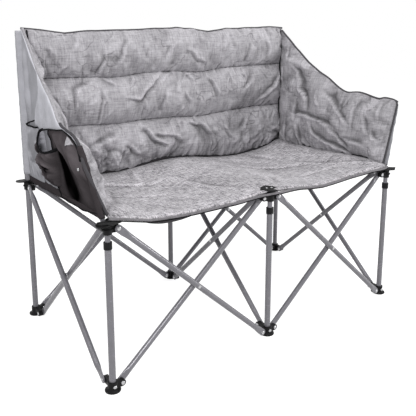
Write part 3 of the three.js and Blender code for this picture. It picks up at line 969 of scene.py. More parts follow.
@dataclass(frozen=True)
class PlainClothFinish:
    """Smooth cloth with soft ripples.

    Args:
        name: the material's name.
        colour: the cloth's colour.
        roughness: how matt it is.
        ripple: height of the soft ripples.
        source: the coordinates that the ripples follow.
        shine: level of its gloss.
    """

    name: str
    colour: tuple[float, float, float]
    roughness: float = 0.8
    ripple: float = 0.002
    source: Space = Space.CLOTH
    shine: float = 0.3

    def make(self) -> bpy.types.Material:
        """Ripples at two sizes and a fine plain weave.

        Returns:
            The material.
        """
        board = NodeBoard(self.name)
        vector = board.coordinates(self.source)
        broad = board.noise(vector, 26.0, 4.0, 0.6)
        weave = board.noise(board.coordinates(self.source, (900, 900, 900)), 1.0, 1.0)
        # painted shade and light: the colour follows the height of the broad ripples, darker in their hollows
        # and lighter on their crests
        shade = board.spread(broad, 0.3, 0.7, 0.82, 1.12)
        mixed = board.mix(board.spread(board.math("ADD", shade, weave), 1.2, 1.8), rgb(self.colour, 0.8),
                          rgb(self.colour, 1.2))
        colour = board.toned(mixed, 1.0)
        relief = board.bump(weave, 0.0003, 0.3)
        relief = board.bump(broad, self.ripple, 0.6, relief)
        roughness = board.spread(broad, 0.3, 0.7, self.roughness - 0.08, self.roughness + 0.08)
        return board.surface(Base_Color=colour, Roughness=roughness, Specular_IOR_Level=self.shine,
                             Normal=relief)


@dataclass(frozen=True)
class PaintFinish:
    """Satin powder coat on steel tube.

    Args:
        name: the material's name.
        colour: the paint's colour.
    """

    name: str = "grey_paint"
    colour: tuple[float, float, float] = (0.185, 0.181, 0.199)

    def make(self) -> bpy.types.Material:
        """Orange peel in the relief and faint handling marks in the gloss.

        Returns:
            The material.
        """
        board = NodeBoard(self.name)
        vector = board.coordinates(Space.PIECE)
        peel = board.noise(vector, 900.0, 1.0)
        marks = board.noise(vector, 35.0, 5.0, 0.7)
        shade = board.spread(marks, 0.35, 0.75, 0.0, 1.0)
        colour = board.mix(shade, rgb(self.colour, 0.9), rgb(self.colour, 1.08))
        roughness = board.spread(marks, 0.3, 0.7, 0.20, 0.30)
        relief = board.bump(peel, 0.0002, 0.2)
        return board.surface(Base_Color=colour, Roughness=roughness, Metallic=0.20, Specular_IOR_Level=0.35,
                             Normal=relief)


@dataclass(frozen=True)
class PlasticFinish:
    """Moulded plastic with a fine grain.

    Args:
        name: the material's name.
        colour: the plastic's colour.
        roughness: how matt it is.
    """

    name: str = "black_plastic"
    colour: tuple[float, float, float] = (0.006, 0.006, 0.0065)
    roughness: float = 0.45

    def make(self) -> bpy.types.Material:
        """Spark grain in the relief, and rubbed patches in the gloss.

        Returns:
            The material.
        """
        board = NodeBoard(self.name)
        vector = board.coordinates(Space.PIECE)
        grain = board.noise(vector, 1400.0, 2.0)
        rubbed = board.noise(vector, 60.0, 4.0)
        colour = board.mix(board.spread(rubbed, 0.45, 0.8), rgb(self.colour), rgb(self.colour, 2.2))
        roughness = board.spread(rubbed, 0.3, 0.7, self.roughness - 0.07, self.roughness + 0.1)
        return board.surface(Base_Color=colour, Roughness=roughness, Specular_IOR_Level=0.12,
                             Normal=board.bump(grain, 0.00015, 0.4))


@dataclass(frozen=True)
class WebbingFinish:
    """Black woven strap with ribs across it.

    Args:
        name: the material's name.
        rib: width of a rib.
    """

    name: str = "black_webbing"
    rib: float = 0.0016

    def make(self) -> bpy.types.Material:
        """Ribs are a sine band along the first cloth coordinate, with a noise of loose fibres.

        Returns:
            The material.
        """
        board = NodeBoard(self.name)
        vector = board.coordinates(Space.CLOTH, (1 / self.rib, 1 / self.rib, 1))
        wave = board.add("ShaderNodeTexWave", {"Vector": vector, "Scale": 0.32, "Distortion": 1.5})
        ribs = wave.outputs["Fac"]
        fibres = board.noise(vector, 1.2, 3.0)
        colour = board.mix(board.math("MULTIPLY", ribs, fibres), even_grey(0.003), rgb((0.035, 0.035, 0.037)))
        return board.surface(Base_Color=colour, Roughness=0.8, Specular_IOR_Level=0.2,
                             Normal=board.bump(ribs, 0.0006, 0.6))


@dataclass(frozen=True)
class SteelFinish:
    """Bright rivet steel with turned marks.

    Args:
        name: the material's name.
    """

    name: str = "rivet_steel"

    def make(self) -> bpy.types.Material:
        """Fine scratches in gloss and relief.

        Returns:
            The material.
        """
        board = NodeBoard(self.name)
        scratches = board.noise(board.coordinates(Space.PIECE, (1, 1, 6)), 500.0, 3.0)
        colour = board.mix(scratches, rgb((0.30, 0.30, 0.31)), rgb((0.50, 0.50, 0.51)))
        roughness = board.spread(scratches, 0.3, 0.7, 0.18, 0.34)
        return board.surface(Base_Color=colour, Roughness=roughness, Metallic=0.95,
                             Normal=board.bump(scratches, 0.00008, 0.4))


def made(finish: "LinenFinish | PlainClothFinish | PaintFinish | PlasticFinish | WebbingFinish | SteelFinish"
         ) -> bpy.types.Material:
    """A field of the wardrobe that holds what a finish makes."""
    return field(default_factory=finish.make)


@dataclass
class Wardrobe:
    """Every finish of the loveseat, made once.

    Args:
        linen: mottled cloth of the back and arms.
        seat_linen: coarser cloth of the seat, turned on it.
        hem: darker cloth of the front hem.
        outer: plain pale cloth of the outer faces.
        charcoal: dark cloth of the left apron, its pole's sleeve, the side skirts and the cup pocket.
        piping: dark cord round the pads.
        thread: sunk seam lines, and the dark cords that are painted shade where the back and arms meet the
            seat.
        binding: black tape round edges.
        webbing: straps on the corner hubs.
        paint: tubes.
        plastic: feet, hubs, collars and plugs.
        steel: rivets.
    """

    linen: bpy.types.Material = made(LinenFinish())
    seat_linen: bpy.types.Material = made(LinenFinish(
        "grey_linen_seat", (0.69, 0.668, 0.70), (0.09, 0.085, 0.095), math.radians(28), thread_width=0.0017,
        thread_length=0.009, slub_width=0.0034, slub_length=0.022, fleck=0.0022, contrast=2.3, creasing=0.6))
    hem: bpy.types.Material = made(LinenFinish("grey_hem", (0.26, 0.25, 0.265), (0.07, 0.066, 0.072)))
    outer: bpy.types.Material = made(
        PlainClothFinish("grey_outer_cloth", (0.41, 0.41, 0.443), ripple=0.006, shine=0.1))
    charcoal: bpy.types.Material = made(
        PlainClothFinish("charcoal_polyester", (0.050, 0.044, 0.047), 0.50, 0.006, shine=0.0))
    piping: bpy.types.Material = made(
        PlainClothFinish("charcoal_piping", (0.070, 0.067, 0.073), 0.8, 0.0008, Space.PIECE, 0.1))
    thread: bpy.types.Material = made(
        PlainClothFinish("seam_thread", (0.030, 0.028, 0.031), 0.85, 0.0004, Space.PIECE, 0.08))
    binding: bpy.types.Material = made(
        PlainClothFinish("black_binding", (0.008, 0.008, 0.009), 0.8, 0.0006, Space.PIECE, 0.05))
    webbing: bpy.types.Material = made(WebbingFinish())
    paint: bpy.types.Material = made(PaintFinish())
    plastic: bpy.types.Material = made(PlasticFinish())
    steel: bpy.types.Material = made(SteelFinish())


def fold_shade(relief: Array, depth: float) -> Array:
    """Painted shade of the cloth from its relief: folds are painted dark as shade, lips are painted pale as
    highlight.
    """
    return np.clip(relief / depth, -1, 0.35)


@dataclass(frozen=True)
class Fold:
    """A soft piece's setting for when the frame folds; it only gives the piece its own mesh.

    Args:
        axis: direction in which it flattens; not used.
        anchor: place that stays; not used.
        keep: share of its width that is left; not used.
    """

    axis: tuple[float, float, float]
    anchor: tuple[float, float, float]
    keep: float

    def on(self, obj: bpy.types.Object) -> None:
        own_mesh(obj)


ACROSS = Fold((1, 0, 0), (0, 0, 0), 0.2)
DEEP = Fold((0, 1, 0), (0, LAYOUT.post_y, 0), 0.237)


def place(obj: bpy.types.Object, body: str, fold: Fold | None = None) -> None:
    """Hand a finished piece to its body and report it.

    Args:
        obj: the piece.
        body: the body that it rides on.
        fold: its fold setting, for a soft piece: its modifiers are applied and its mesh is made its own.
    """
    if fold is not None:
        if obj.modifiers:
            apply_modifiers(obj)
        fold.on(obj)
    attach(obj, body)
    LOG.info("%s rides on %s", obj.name, body)


def stand_in(obj: bpy.types.Object, node: str, body: str, sharp: float) -> None:
    """Put a hard piece in the place of a node and hand it to its body.

    Args:
        obj: the piece.
        node: the solid that it replaces.
        body: the body that it rides on.
        sharp: edges sharper than this angle in degrees stay sharp in the shading.
    """
    mark_sharp(obj, sharp)
    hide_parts(node)
    place(obj, body)


def sew_cord(name: str, path: Array, radius: float, reference: Sequence[float], sides: int,
             finish: bpy.types.Material, body: str, slot: Slot = Slot.DARK, fold: Fold = DEEP,
             flatness: float = 1.0) -> None:
    """Lay a piping, binding or seam along a line and hand it to its body.

    Args:
        name: the piece's name.
        path: its middle line.
        radius: half its width.
        reference: a direction that the line never runs along.
        sides: corners of its section.
        finish: its material.
        body: the body that it rides on.
        slot: the material slot of the record that it belongs to; not used.
        fold: its fold setting, passed on to place.
        flatness: height of its section as a share of its width.
    """
    cord = tube_shape(path, radius, reference, sides, flatness)
    place(cord.to_object(name, finish), body, fold)


def sew_sheet(obj: bpy.types.Object, body: str, thickness: float = SHEET,
              fold: Fold | None = DEEP, node: str = "",
              round_out: bool = False, outward: bool = False, lined: bool = False) -> None:
    """Give a sheet its thickness and hand it to its body.

    Args:
        obj: the sheet.
        body: the body that it rides on.
        thickness: of the cloth.
        fold: its fold setting, passed on to place.
        node: the solid that it replaces, if any.
        round_out: whether it is subdivided.
        outward: whether the thickness stands out of the modelled sheet instead of behind it.
        lined: whether its rear side has the second material.
    """
    modifier = obj.modifiers.new("Solidify", "SOLIDIFY")
    modifier.material_offset = int(lined)
    modifier.thickness = thickness
    modifier.offset = 1.0 if outward else -1.0
    if round_out:
        subdivide(obj)
    if node:
        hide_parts(node)
    place(obj, body, fold)


def swollen_pad(name: str, grids: Sequence[Array], sewn: float, wardrobe: Wardrobe) -> bpy.types.Object:
    """Make a pad, let it swell between its seams and subdivide it.

    Tone holds the freedom of each point of the face, and -1 on the rear, for the folds that are
    pressed in afterwards.

    Args:
        name: the piece's name.
        grids: its face, its rear, its cloth coordinates and its freedom from the seams.
        sewn: freedom below which a point is held.
        wardrobe: the finishes.

    Returns:
        The pad, linen on its face and plain cloth on its rear.
    """
    face, rear, uv, free = grids
    shape = shell_shape(face, rear, uv).dressed(0)
    shape.tone = np.full(len(shape.points), -1.0)
    shape.tone[: free.size] = free.ravel()
    shape.dress[(face.shape[0] - 1) * (face.shape[1] - 1):] = 1
    obj = shape.to_object(name, wardrobe.linen, wardrobe.outer)
    swell(obj, shape.tone < sewn)
    subdivide(obj)
    apply_modifiers(obj)
    return obj


@dataclass
class SeatPad:
    """The hanging padded seat, in two halves that meet at the fold line.

    Args:
        wardrobe: the finishes.
        columns: grid points across.
        rows: grid points from rear to front.
        hem: the front hem, as places across and heights of its lower edge.
        rear_sag: how far the rear edge hangs between the posts.
        side_lift: how far the side edges stand up.
        corner_lift: how far the rear corners stand up.
        edge_thickness: thickness at the outline.
        pad_thickness: thickness in the bays.
        corner_width: width of the front corners that turn back.
        corner_draw: how far they turn back.
        dish: how far the middle of a bay hangs.
        clamp: how far the cap plate presses the front edge down.
        edge_run: width over which the padding thins to the outline.
        plate_at: place of the cap plate's middle, across and from front to rear.
        creases: folds in the top, by place across and from front to rear.
    """

    wardrobe: Wardrobe
    columns: int = 190
    rows: int = 100
    hem: tuple[tuple[float, float], ...] = (
        (-0.517, 0.4540), (-0.486, 0.4520), (-0.450, 0.4440), (-0.409, 0.4350), (-0.365, 0.4310),
        (-0.320, 0.4300), (-0.260, 0.4300), (-0.200, 0.4320), (-0.139, 0.4350), (-0.079, 0.4410),
        (-0.031, 0.4480), (0.000, 0.4490), (0.031, 0.4480), (0.107, 0.4430), (0.160, 0.4365),
        (0.205, 0.4340), (0.250, 0.4370), (0.326, 0.4450), (0.422, 0.4520), (0.517, 0.4550),
    )
    rear_sag: float = 0.021
    side_lift: float = 0.0105
    corner_lift: float = 0.012
    edge_thickness: float = 0.009
    pad_thickness: float = 0.018
    corner_width: float = 0.045
    corner_draw: float = 0.014
    dish: float = 0.010
    clamp: float = 0.0075
    edge_run: float = 0.05
    plate_at: tuple[float, float] = (-0.004, -0.2720)
    creases: tuple[Crease, ...] = creases_of(
        (22, 16, -460, 160, -300, 70, -160, 20), (20, 12, -400, -50, -220, -100),
        (22, 16, 100, 100, 280, -20, 420, -100), (20, 12, 220, -160, 400, -180),
        (22, 14, -50, -240, -100, -120, -120, 20), (20, 13, 60, -240, 120, -120),
        (26, 14, -500, -240, -420, -120, -360, 30), (26, 14, 490, -240, 420, -140, 360, 0),
        (20, 14, 300, 200, 340, 80), (20, 14, -200, 210, -240, 100),
    )

    def top(self, x: Array, y: Array) -> Array:
        """Height of the top: the front hem's line at the front, a shallow sag at the rear.

        Args:
            x: places across.
            y: places from front to rear.

        Returns:
            One height per point.
        """
        front = broken_line(self.hem, x) + self.edge_thickness
        bay = np.sin(math.pi * np.clip(np.abs(x) / (LAYOUT.post_x - 0.007), 0, 1)) ** 2
        rear = LAYOUT.seat_edge - self.rear_sag * bay
        depth = np.clip((LAYOUT.seat_rear - y) / (LAYOUT.seat_rear - LAYOUT.seat_front), 0, 1)
        dish = self.dish * bay * np.sin(math.pi * depth) ** 1.5
        clamped = self.clamp * np.exp(-((x / 0.050) ** 2) - ((y + 0.264) / 0.019) ** 2)
        inward = LAYOUT.seat_half_width - np.abs(x)
        lift = self.side_lift * smooth_step(0.135, 0.012, inward) * smooth_step(-0.285, -0.200, y)
        corner = self.corner_lift * np.exp(-((inward / 0.07) ** 2) - ((LAYOUT.seat_rear - y) / 0.07) ** 2)
        return rear * (1 - depth**1.4) + front * depth**1.4 - dish - clamped + lift + corner

    def front_at(self, x: Array) -> Array:
        """Place of the front hem: drawn in between the hubs, and turned back at the corners.

        Args:
            x: places across.

        Returns:
            One place per point.
        """
        bay = np.sin(math.pi * x / LAYOUT.post_x) ** 2
        corner = np.clip((np.abs(x) - LAYOUT.seat_half_width) / self.corner_width + 1, 0, 1)
        ripple = 0.002 * soft_noise(x, 0 * x, 0.06, 4)
        return LAYOUT.seat_front + 0.007 * bay + self.corner_draw * corner**2 + ripple

    def grids(self) -> tuple[Array, Array, Array, Array]:
        """Top and underside of the whole seat, its cloth coordinates and the painted shade of its folds, with a
        painted shadow along the rear edge and the sides.

        Returns:
            Two (rows, columns, 3) grids, one with 2 values and one with 1 value per point.
        """
        u = np.linspace(-1, 1, self.columns)
        v = np.linspace(0, 1, self.rows)
        x = u[None] * LAYOUT.seat_half_width * np.ones((self.rows, 1))
        bay = np.sin(math.pi * x / LAYOUT.post_x) ** 2
        front = self.front_at(x)
        y = LAYOUT.seat_rear + (front - LAYOUT.seat_rear) * v[:, None]
        edge = np.minimum(1, np.minimum(LAYOUT.seat_half_width - np.abs(x), y - front) / self.edge_run)
        fullness = np.sqrt(np.clip(edge, 0, 1))
        top = self.top(x, y)
        wave = 0.0012 * soft_noise(x + 0.6 * y, y, 0.07, 7) + 0.0007 * soft_noise(x, y - 0.5 * x, 0.028, 9)
        folds = relief_of(self.creases, x, y)
        raised = top + 0.002 * fullness + wave * fullness + folds
        padding = (self.pad_thickness - self.edge_thickness) * fullness * (0.4 + 0.6 * bay)
        low = top - self.edge_thickness - padding
        over_hub = smooth_step(1.3, 0.9, np.hypot(x, y + LAYOUT.post_y) / 0.022)
        low = low + np.clip(LAYOUT.hub_top + 0.0004 - low, 0, None) * over_hub
        uv = np.stack([x, y], axis=-1)
        # painted shade in the folds and painted highlight on their lips, with random mottle; then a painted
        # shadow along the rear edge and the sides
        shade = fold_shade(folds, 0.004) + 0.25 * soft_noise(x, y, 0.05, 8)
        corner_shadow = np.exp(-(LAYOUT.seat_rear - 0.03 - y) / 0.02) + np.exp(-(0.505 - np.abs(x)) / 0.012)
        shade = shade - 0.5 * np.clip(corner_shadow, 0, 1)
        return np.stack([x, y, raised], axis=-1), np.stack([x, y, low], axis=-1), uv, shade

    def build(self) -> None:
        """Make the whole seat, then cut it at the fold line into its two halves."""
        top, low, uv, shade = self.grids()
        middle = (top + low) / 2
        for grid in (top, low):
            for edge in (np.s_[-1], np.s_[0], np.s_[:, 0], np.s_[:, -1]):
                grid[edge] = middle[edge]
        # rows run to the front, so columns are reversed to keep the top facing up
        shape = shell_shape(top[:, ::-1], low[:, ::-1], uv[:, ::-1])
        shape.tone = np.zeros(len(shape.points))
        shape.tone[: shade.size] = shade[:, ::-1].ravel()
        whole = shape.to_object("seat_whole", self.wardrobe.seat_linen)
        subdivide(whole)
        apply_modifiers(whole)
        for word in ("rear", "front"):
            half = link_object(f"cloth_seat_{word}", whole.data.copy())
            half.data.name = half.name
            self.cut(half, word == "rear")
            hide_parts(f"seat_{word}")
            place(half, f"seat_{word}_half", ACROSS)
        bpy.data.objects.remove(whole)

    @staticmethod
    def cut(half: bpy.types.Object, keep_rear: bool) -> None:
        """Cut a copy of the seat at the fold line, close it there and keep one side.

        Args:
            half: the copy of the whole seat.
            keep_rear: whether the rear side is kept.
        """
        mesh = bmesh.new()
        mesh.from_mesh(half.data)
        everything = mesh.verts[:] + mesh.edges[:] + mesh.faces[:]
        result = bmesh.ops.bisect_plane(
            mesh, geom=everything, dist=1e-6, plane_co=(0, LAYOUT.seat_fold, 0), plane_no=(0, 1, 0),
            clear_outer=not keep_rear, clear_inner=keep_rear)
        rim = [item for item in result["geom_cut"] if isinstance(item, bmesh.types.BMEdge)]
        bmesh.ops.holes_fill(mesh, edges=rim, sides=0)
        mesh.to_mesh(half.data)
        mesh.free()

    def dress(self) -> None:
        """The hem band along the front, the black line under it and the dark lens where it turns under."""
        top, low, _, _ = self.grids()
        edge = ((top + low) / 2)[-1]
        drop = 0.003 + 0.006 * np.exp(-((edge[:, 0] / 0.06) ** 2))
        line = edge + np.stack([0 * drop, -0.0018 - 0.15 * drop, -drop], axis=-1)
        body, across = "seat_front_half", (0, 1, 0.2)
        sew_cord("hem_seat_front", resampled(line, 0.006), 0.0026, across, 10, self.wardrobe.hem, body,
                 Slot.GREY, ACROSS, flatness=2.0)
        under = resampled(line + np.array([0, 0.0008, -0.0052]), 0.008)
        sew_cord("piping_seat_front", under, 0.0016, across, 8, self.wardrobe.binding, body, fold=ACROSS)
        self.lens(line)

    def lens(self, line: Array, first: float = -0.425, last: float = -0.235, fall: float = 0.013) -> None:
        """The dark underside that shows below the hem: fall times sin(pi share) deep.

        Args:
            line: the hem's middle line.
            first: its left end.
            last: its right end.
            fall: its depth at the middle.
        """
        x = np.linspace(first, last, 40)
        share = (x - first) / (last - first)
        y = np.interp(x, line[:, 0], line[:, 1])
        z = np.interp(x, line[:, 0], line[:, 2]) - 0.004
        down = np.linspace(0, 1, 7)[:, None]
        deep = fall * np.sin(math.pi * share**0.8) ** 0.9 + 0.0008
        bulge = 0.004 * np.sin(math.pi * down) * np.sin(math.pi * share)
        grid = np.broadcast_arrays(x[None], y + 0.004 + 0.010 * down - bulge, z - deep * down)
        points = np.stack(grid, axis=-1)
        shape = sheet_shape(points[::-1], points[::-1, :, ::2])
        obj = shape.to_object("hem_underside", self.wardrobe.piping)
        sew_sheet(obj, "seat_front_half", 0.0015, fold=ACROSS)

    def cap(self, half_length: float = 0.034, half_width: float = 0.019, thickness: float = 0.003) -> None:
        """The pointed cap plate on the front hem, tipped forward, with its two rivets.

        Args:
            half_length: half its length between the points.
            half_width: half its width at the middle.
            thickness: height of its flat edge.
        """
        share = np.linspace(-1, 1, 25)
        rim = 1 - share**2
        outline = np.concatenate([np.stack([share, rim], axis=-1), np.stack([share, -rim], axis=-1)[-2:0:-1]])
        flat = outline * np.array([half_length, half_width])
        tip, lean = 0.22, 0.08
        middle_x, middle_y = self.plate_at
        height = float(self.top(np.array([0.0]), np.array([-0.27]))[0]) + 0.0027
        rings = []
        for shrink, rise in ((1, 0), (1, 0.6 * thickness), (0.93, thickness), (0.5, 1.25 * thickness)):
            x, y = (flat * shrink).T
            rings.append(np.stack([x + middle_x, y * math.cos(tip) + middle_y,
                                   rise + y * math.sin(tip) - lean * x + height], axis=-1))
        heads = [rivet_head((x + middle_x, middle_y, height + 1.2 * thickness - lean * x), (0, -tip, 1), 0.0034,
                            0.0014).dressed(1) for x in (-0.009, 0.009)]
        plate = ring_shape(np.stack(rings), flip=True).dressed(0).joined(*heads)
        obj = plate.to_object("fine_seat_cap", self.wardrobe.plastic, self.wardrobe.steel)
        stand_in(obj, "seat_cap", "front_centre_hub", 40)


@dataclass
class BackPad:
    """The quilted back, with two sewn seams across and a wavy top.

    Args:
        wardrobe: the finishes.
        seat: the seat that it stands on.
        columns: grid points across.
        rows_each: grid steps in each channel.
        half_width: half the back's width.
        seam_lines: the two seams, as places across and heights.
        puff: thickness in the middle of a channel.
        seam_depth: thickness at a seam.
        edge_depth: thickness at both ends.
        side_draw: width over which it thins to its ends.
        top_line: the top edge, as places across and heights.
        foot_y: place of its foot on the seat.
        body: the body that it rides on.
        creases: folds in the face, by place across and height.
    """

    wardrobe: Wardrobe
    seat: SeatPad
    columns: int = 200
    rows_each: int = 30
    half_width: float = 0.517
    seam_lines: tuple[tuple[tuple[float, float], ...], ...] = (
        ((-0.520, 0.605), (-0.120, 0.603), (0.120, 0.605), (0.220, 0.609), (0.370, 0.622), (0.520, 0.622)),
        ((-0.520, 0.757), (-0.250, 0.756), (-0.030, 0.764), (0.130, 0.763), (0.260, 0.773), (0.370, 0.778),
         (0.520, 0.781)),
    )
    puff: float = 0.036
    seam_depth: float = 0.008
    edge_depth: float = 0.006
    side_draw: float = 0.075
    top_line: tuple[tuple[float, float], ...] = (
        (-0.520, 0.908), (-0.454, 0.902), (-0.383, 0.892), (-0.308, 0.899), (-0.167, 0.903), (-0.070, 0.909),
        (0.024, 0.912), (0.085, 0.909), (0.164, 0.901), (0.241, 0.910), (0.320, 0.913), (0.400, 0.916),
        (0.479, 0.919), (0.520, 0.916),
    )
    foot_y: float = 0.235
    body: str = "rear_centre_hub"
    creases: tuple[Crease, ...] = creases_of(
        (50, 9, -186, 891, -208, 819, -233, 791), (75, 9, -269, 821, -295, 759),
        (35, 12, -360, 890, -380, 835), (60, 10, -313, 752, -368, 717, -381, 652),
        (50, 8, -278, 708, -290, 602), (55, 8, -277, 746, -230, 727),
        (65, 9, -188, 686, -144, 674, -81, 724, -49, 759), (50, 9, -39, 700, -62, 637),
        (65, 11, -231, 579, -337, 525), (80, 10, -141, 580, -43, 506), (70, 9, 52, 577, 104, 563, 144, 530),
        (60, 10, 60, 828, 128, 780), (40, 11, 215, 896, 192, 816), (50, 10, 340, 857, 309, 785),
        (70, 10, 483, 734, 376, 653), (60, 10, 348, 744, 298, 687), (55, 10, 144, 733, 180, 664),
        (50, 10, 312, 586, 287, 547), (55, 9, 433, 535, 512, 501), (35, 12, -20, 860, -50, 800),
        (45, 10, 30, 690, 60, 640), (40, 10, -440, 700, -420, 640), (50, 10, 200, 560, 250, 500),
        (45, 11, -400, 560, -380, 490), (60, 9, -90, 560, -20, 545, 30, 515), (55, 9, -200, 530, -150, 490),
        (40, 9, -460, 850, -430, 800), (40, 10, 400, 880, 420, 800), (40, 8, 440, 640, 470, 620),
        (40, 9, 20, 745, 0, 690),
    ) + gathers((0.602, 0.760), -0.48, 0.48, 26, 11) + gathers((0.475,), -0.47, 0.47, 24, 12) \
        + gathers((0.895,), -0.47, 0.47, 10, 13)

    def channels(self, x: Array, low: Array, high: Array) -> list[tuple[Array, Array]]:
        """Bottom and top of each channel between the foot, the two seams and the top edge.

        Args:
            x: places across.
            low: height of the foot there.
            high: height of the top edge there.

        Returns:
            The three pairs of heights.
        """
        lines = [low, *(broken_line(seam, x) for seam in self.seam_lines), high]
        return list(zip(lines[:-1], lines[1:]))

    def foot_at(self, x: Array) -> Array:
        """Height of the seat at the back's foot."""
        return self.seat.top(x, np.full_like(x, self.foot_y))

    def depth_and_edges(self, x: Array, z: Array, low: Array, high: Array) -> tuple[Array, Array]:
        """Thickness of the pad, and how free each point is from its seams.

        Each channel has the crown of its share between two seams. The pad thins to its edge over
        side_draw at both ends.

        Args:
            x: places across.
            z: heights.
            low: height of the foot there.
            high: height of the top edge there.

        Returns:
            The thickness, and the freedom from 0 at a seam to 1.
        """
        thickness = np.zeros_like(x)
        free = np.zeros_like(x)
        for bottom, top in self.channels(x, low, high):
            share = (z - bottom) / (top - bottom)
            inside = (share >= -1e-6) & (share <= 1 + 1e-6)
            rise = crown(np.clip(share, 0, 1), 0.45)
            floor = self.seam_depth
            thickness = np.where(inside, floor + (self.puff - floor) * rise, thickness)
            free = np.where(inside, rise, free)
        side = np.clip((self.half_width - np.abs(x)) / self.side_draw, 0, 1)
        draw = 1 - (1 - side) ** 2
        edge = self.edge_depth
        return edge + (thickness - edge) * draw, free * draw

    def grids(self) -> tuple[Array, Array, Array, Array]:
        """Face and rear of the back, its cloth coordinates and freedom from the seams.

        Returns:
            Two (rows, columns, 3) grids, one with 2 values and one with 1 value per point.
        """
        x = np.linspace(-self.half_width, self.half_width, self.columns)
        high = broken_line(self.top_line, x) + 0.0012 * soft_noise(x, 0 * x, 0.03, 3)
        low = self.foot_at(x) - 0.002
        cosine = np.cos(math.pi * np.linspace(0, 1, self.rows_each + 1))
        share = (0.5 - 0.5 * cosine * (0.35 + 0.65 * np.abs(cosine)))[:, None]
        heights = [bottom + (top - bottom) * share for bottom, top in self.channels(x, low, high)]
        z = np.vstack([heights[0], *(rows[1:] for rows in heights[1:])])
        wave = 0.004 * soft_noise(x, 0 * x, 0.11, 21)[None] * np.sin(math.pi * (z - low) / (high - low))
        z = z + wave
        grid_x = np.broadcast_to(x, z.shape)
        thickness, free = self.depth_and_edges(grid_x, z - wave, low, high)
        pucker = 0.0030 * soft_noise(grid_x, z, 0.016, 31) + 0.0035 * soft_noise(grid_x + 0.4 * z, z, 0.045, 32)
        near_seam = np.exp(-free * 3.2)
        bulk = 0.005 * soft_noise(grid_x, z, 0.09, 33)
        thickness = thickness + np.clip(free, 0, 1) * (bulk + pucker * (0.45 + near_seam))
        bay = np.sin(math.pi * np.abs(grid_x) / LAYOUT.post_x) ** 2
        rear_y = LAYOUT.back_rear + 0.004 * bay + 0.0012 * soft_noise(grid_x, z, 0.06, 35) * bay
        face_y = LAYOUT.back_rear - thickness
        uv = np.stack([grid_x, z], axis=-1)
        face = np.stack([grid_x, face_y, z], axis=-1)
        rear = np.stack([grid_x, rear_y, z], axis=-1)
        return face, rear, uv, free

    def emboss(self, obj: bpy.types.Object) -> None:
        """Press the folds into the front face, where Tone holds its freedom, and write its painted shade.

        Args:
            obj: the swollen pad.
        """
        places, free = point_places(obj), point_tones(obj)
        x, z = places[:, 0], places[:, 2]
        is_front = free > -0.01
        free = np.clip(free, 0, 1)
        low = smooth_step(0.60, 0.50, z)
        folds = relief_of(self.creases, *bent(x, z, 0.008, 0.030, 37)) * (1 + 0.25 * low)
        patches = smooth_step(-0.5, 0.5, soft_noise(x, z, 0.09, 39))
        folds = folds + (0.0012 + 0.0014 * patches + 0.0040 * low) * crumple(x, 0.75 * z, 0.060, 60)
        places[:, 1] -= np.where(is_front, np.clip(free * 1.6, 0, 1) * folds, 0)
        foot_shadow = np.exp(-np.clip(z - self.foot_at(x), 0, None) / 0.012)
        # painted shade in the folds and painted highlight on their lips, painted shade along the seams and a
        # painted shadow at the foot
        shade = fold_shade(folds, 0.0095) - 0.40 * np.exp(-free * 9) - 0.5 * foot_shadow
        shade = shade + 0.14 * soft_noise(x + 0.5 * z, z, 0.06, 36) + 0.10 * soft_noise(x, z, 0.02, 38)
        reshape_points(obj, places, np.where(is_front, np.clip(shade, -1, 0.4), 0))

    def corner_line(self, x: float) -> Array:
        """Places on the face at one place across, from bottom to top.

        Args:
            x: the place across.

        Returns:
            (n, 3) places.
        """
        face = self.grids()[0]
        column = int(np.argmin(np.abs(face[0, :, 0] - x)))
        return face[:, column]

    def build(self) -> None:
        """Make the pad, let it swell between its seams, and finish it."""
        obj = swollen_pad("cloth_back", self.grids(), 0.12, self.wardrobe)
        self.emboss(obj)
        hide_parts("backrest")
        place(obj, self.body, ACROSS)

    def dress(self) -> None:
        """Piping along the top, a thread line sunk in each seam, and a dark cord at the foot as painted shade
        where the back meets the seat.
        """
        face, rear = self.grids()[:2]
        rearward = (0, 1, 0)
        top = face[-1] * 0.5 + rear[-1] * 0.5
        top[:, 1] = LAYOUT.back_rear - 0.004
        sew_cord("piping_back_top", resampled(top, 0.008), 0.0040, rearward, 10, self.wardrobe.piping,
                 self.body, fold=ACROSS)
        for name, row in (("low", self.rows_each), ("high", 2 * self.rows_each)):
            line = face[row] - np.array([0, 0.0004, 0])
            sew_cord(f"seam_back_{name}", resampled(line[2:-2], 0.006), 0.0017, rearward, 6,
                     self.wardrobe.thread, self.body, Slot.GREY, ACROSS)
        # a dark cord laid in the crease at the foot: painted shade where the back meets the seat
        x = np.linspace(-0.500, 0.500, 160)
        y = np.full_like(x, 0.2440)
        z = self.seat.top(x, y) + 0.0035 + 0.0035 * soft_noise(x, 0 * x, 0.035, 61)
        sew_cord("seam_back_foot", np.stack([x, y, z], axis=-1), 0.0052, rearward, 8, self.wardrobe.thread,
                 self.body, fold=ACROSS)


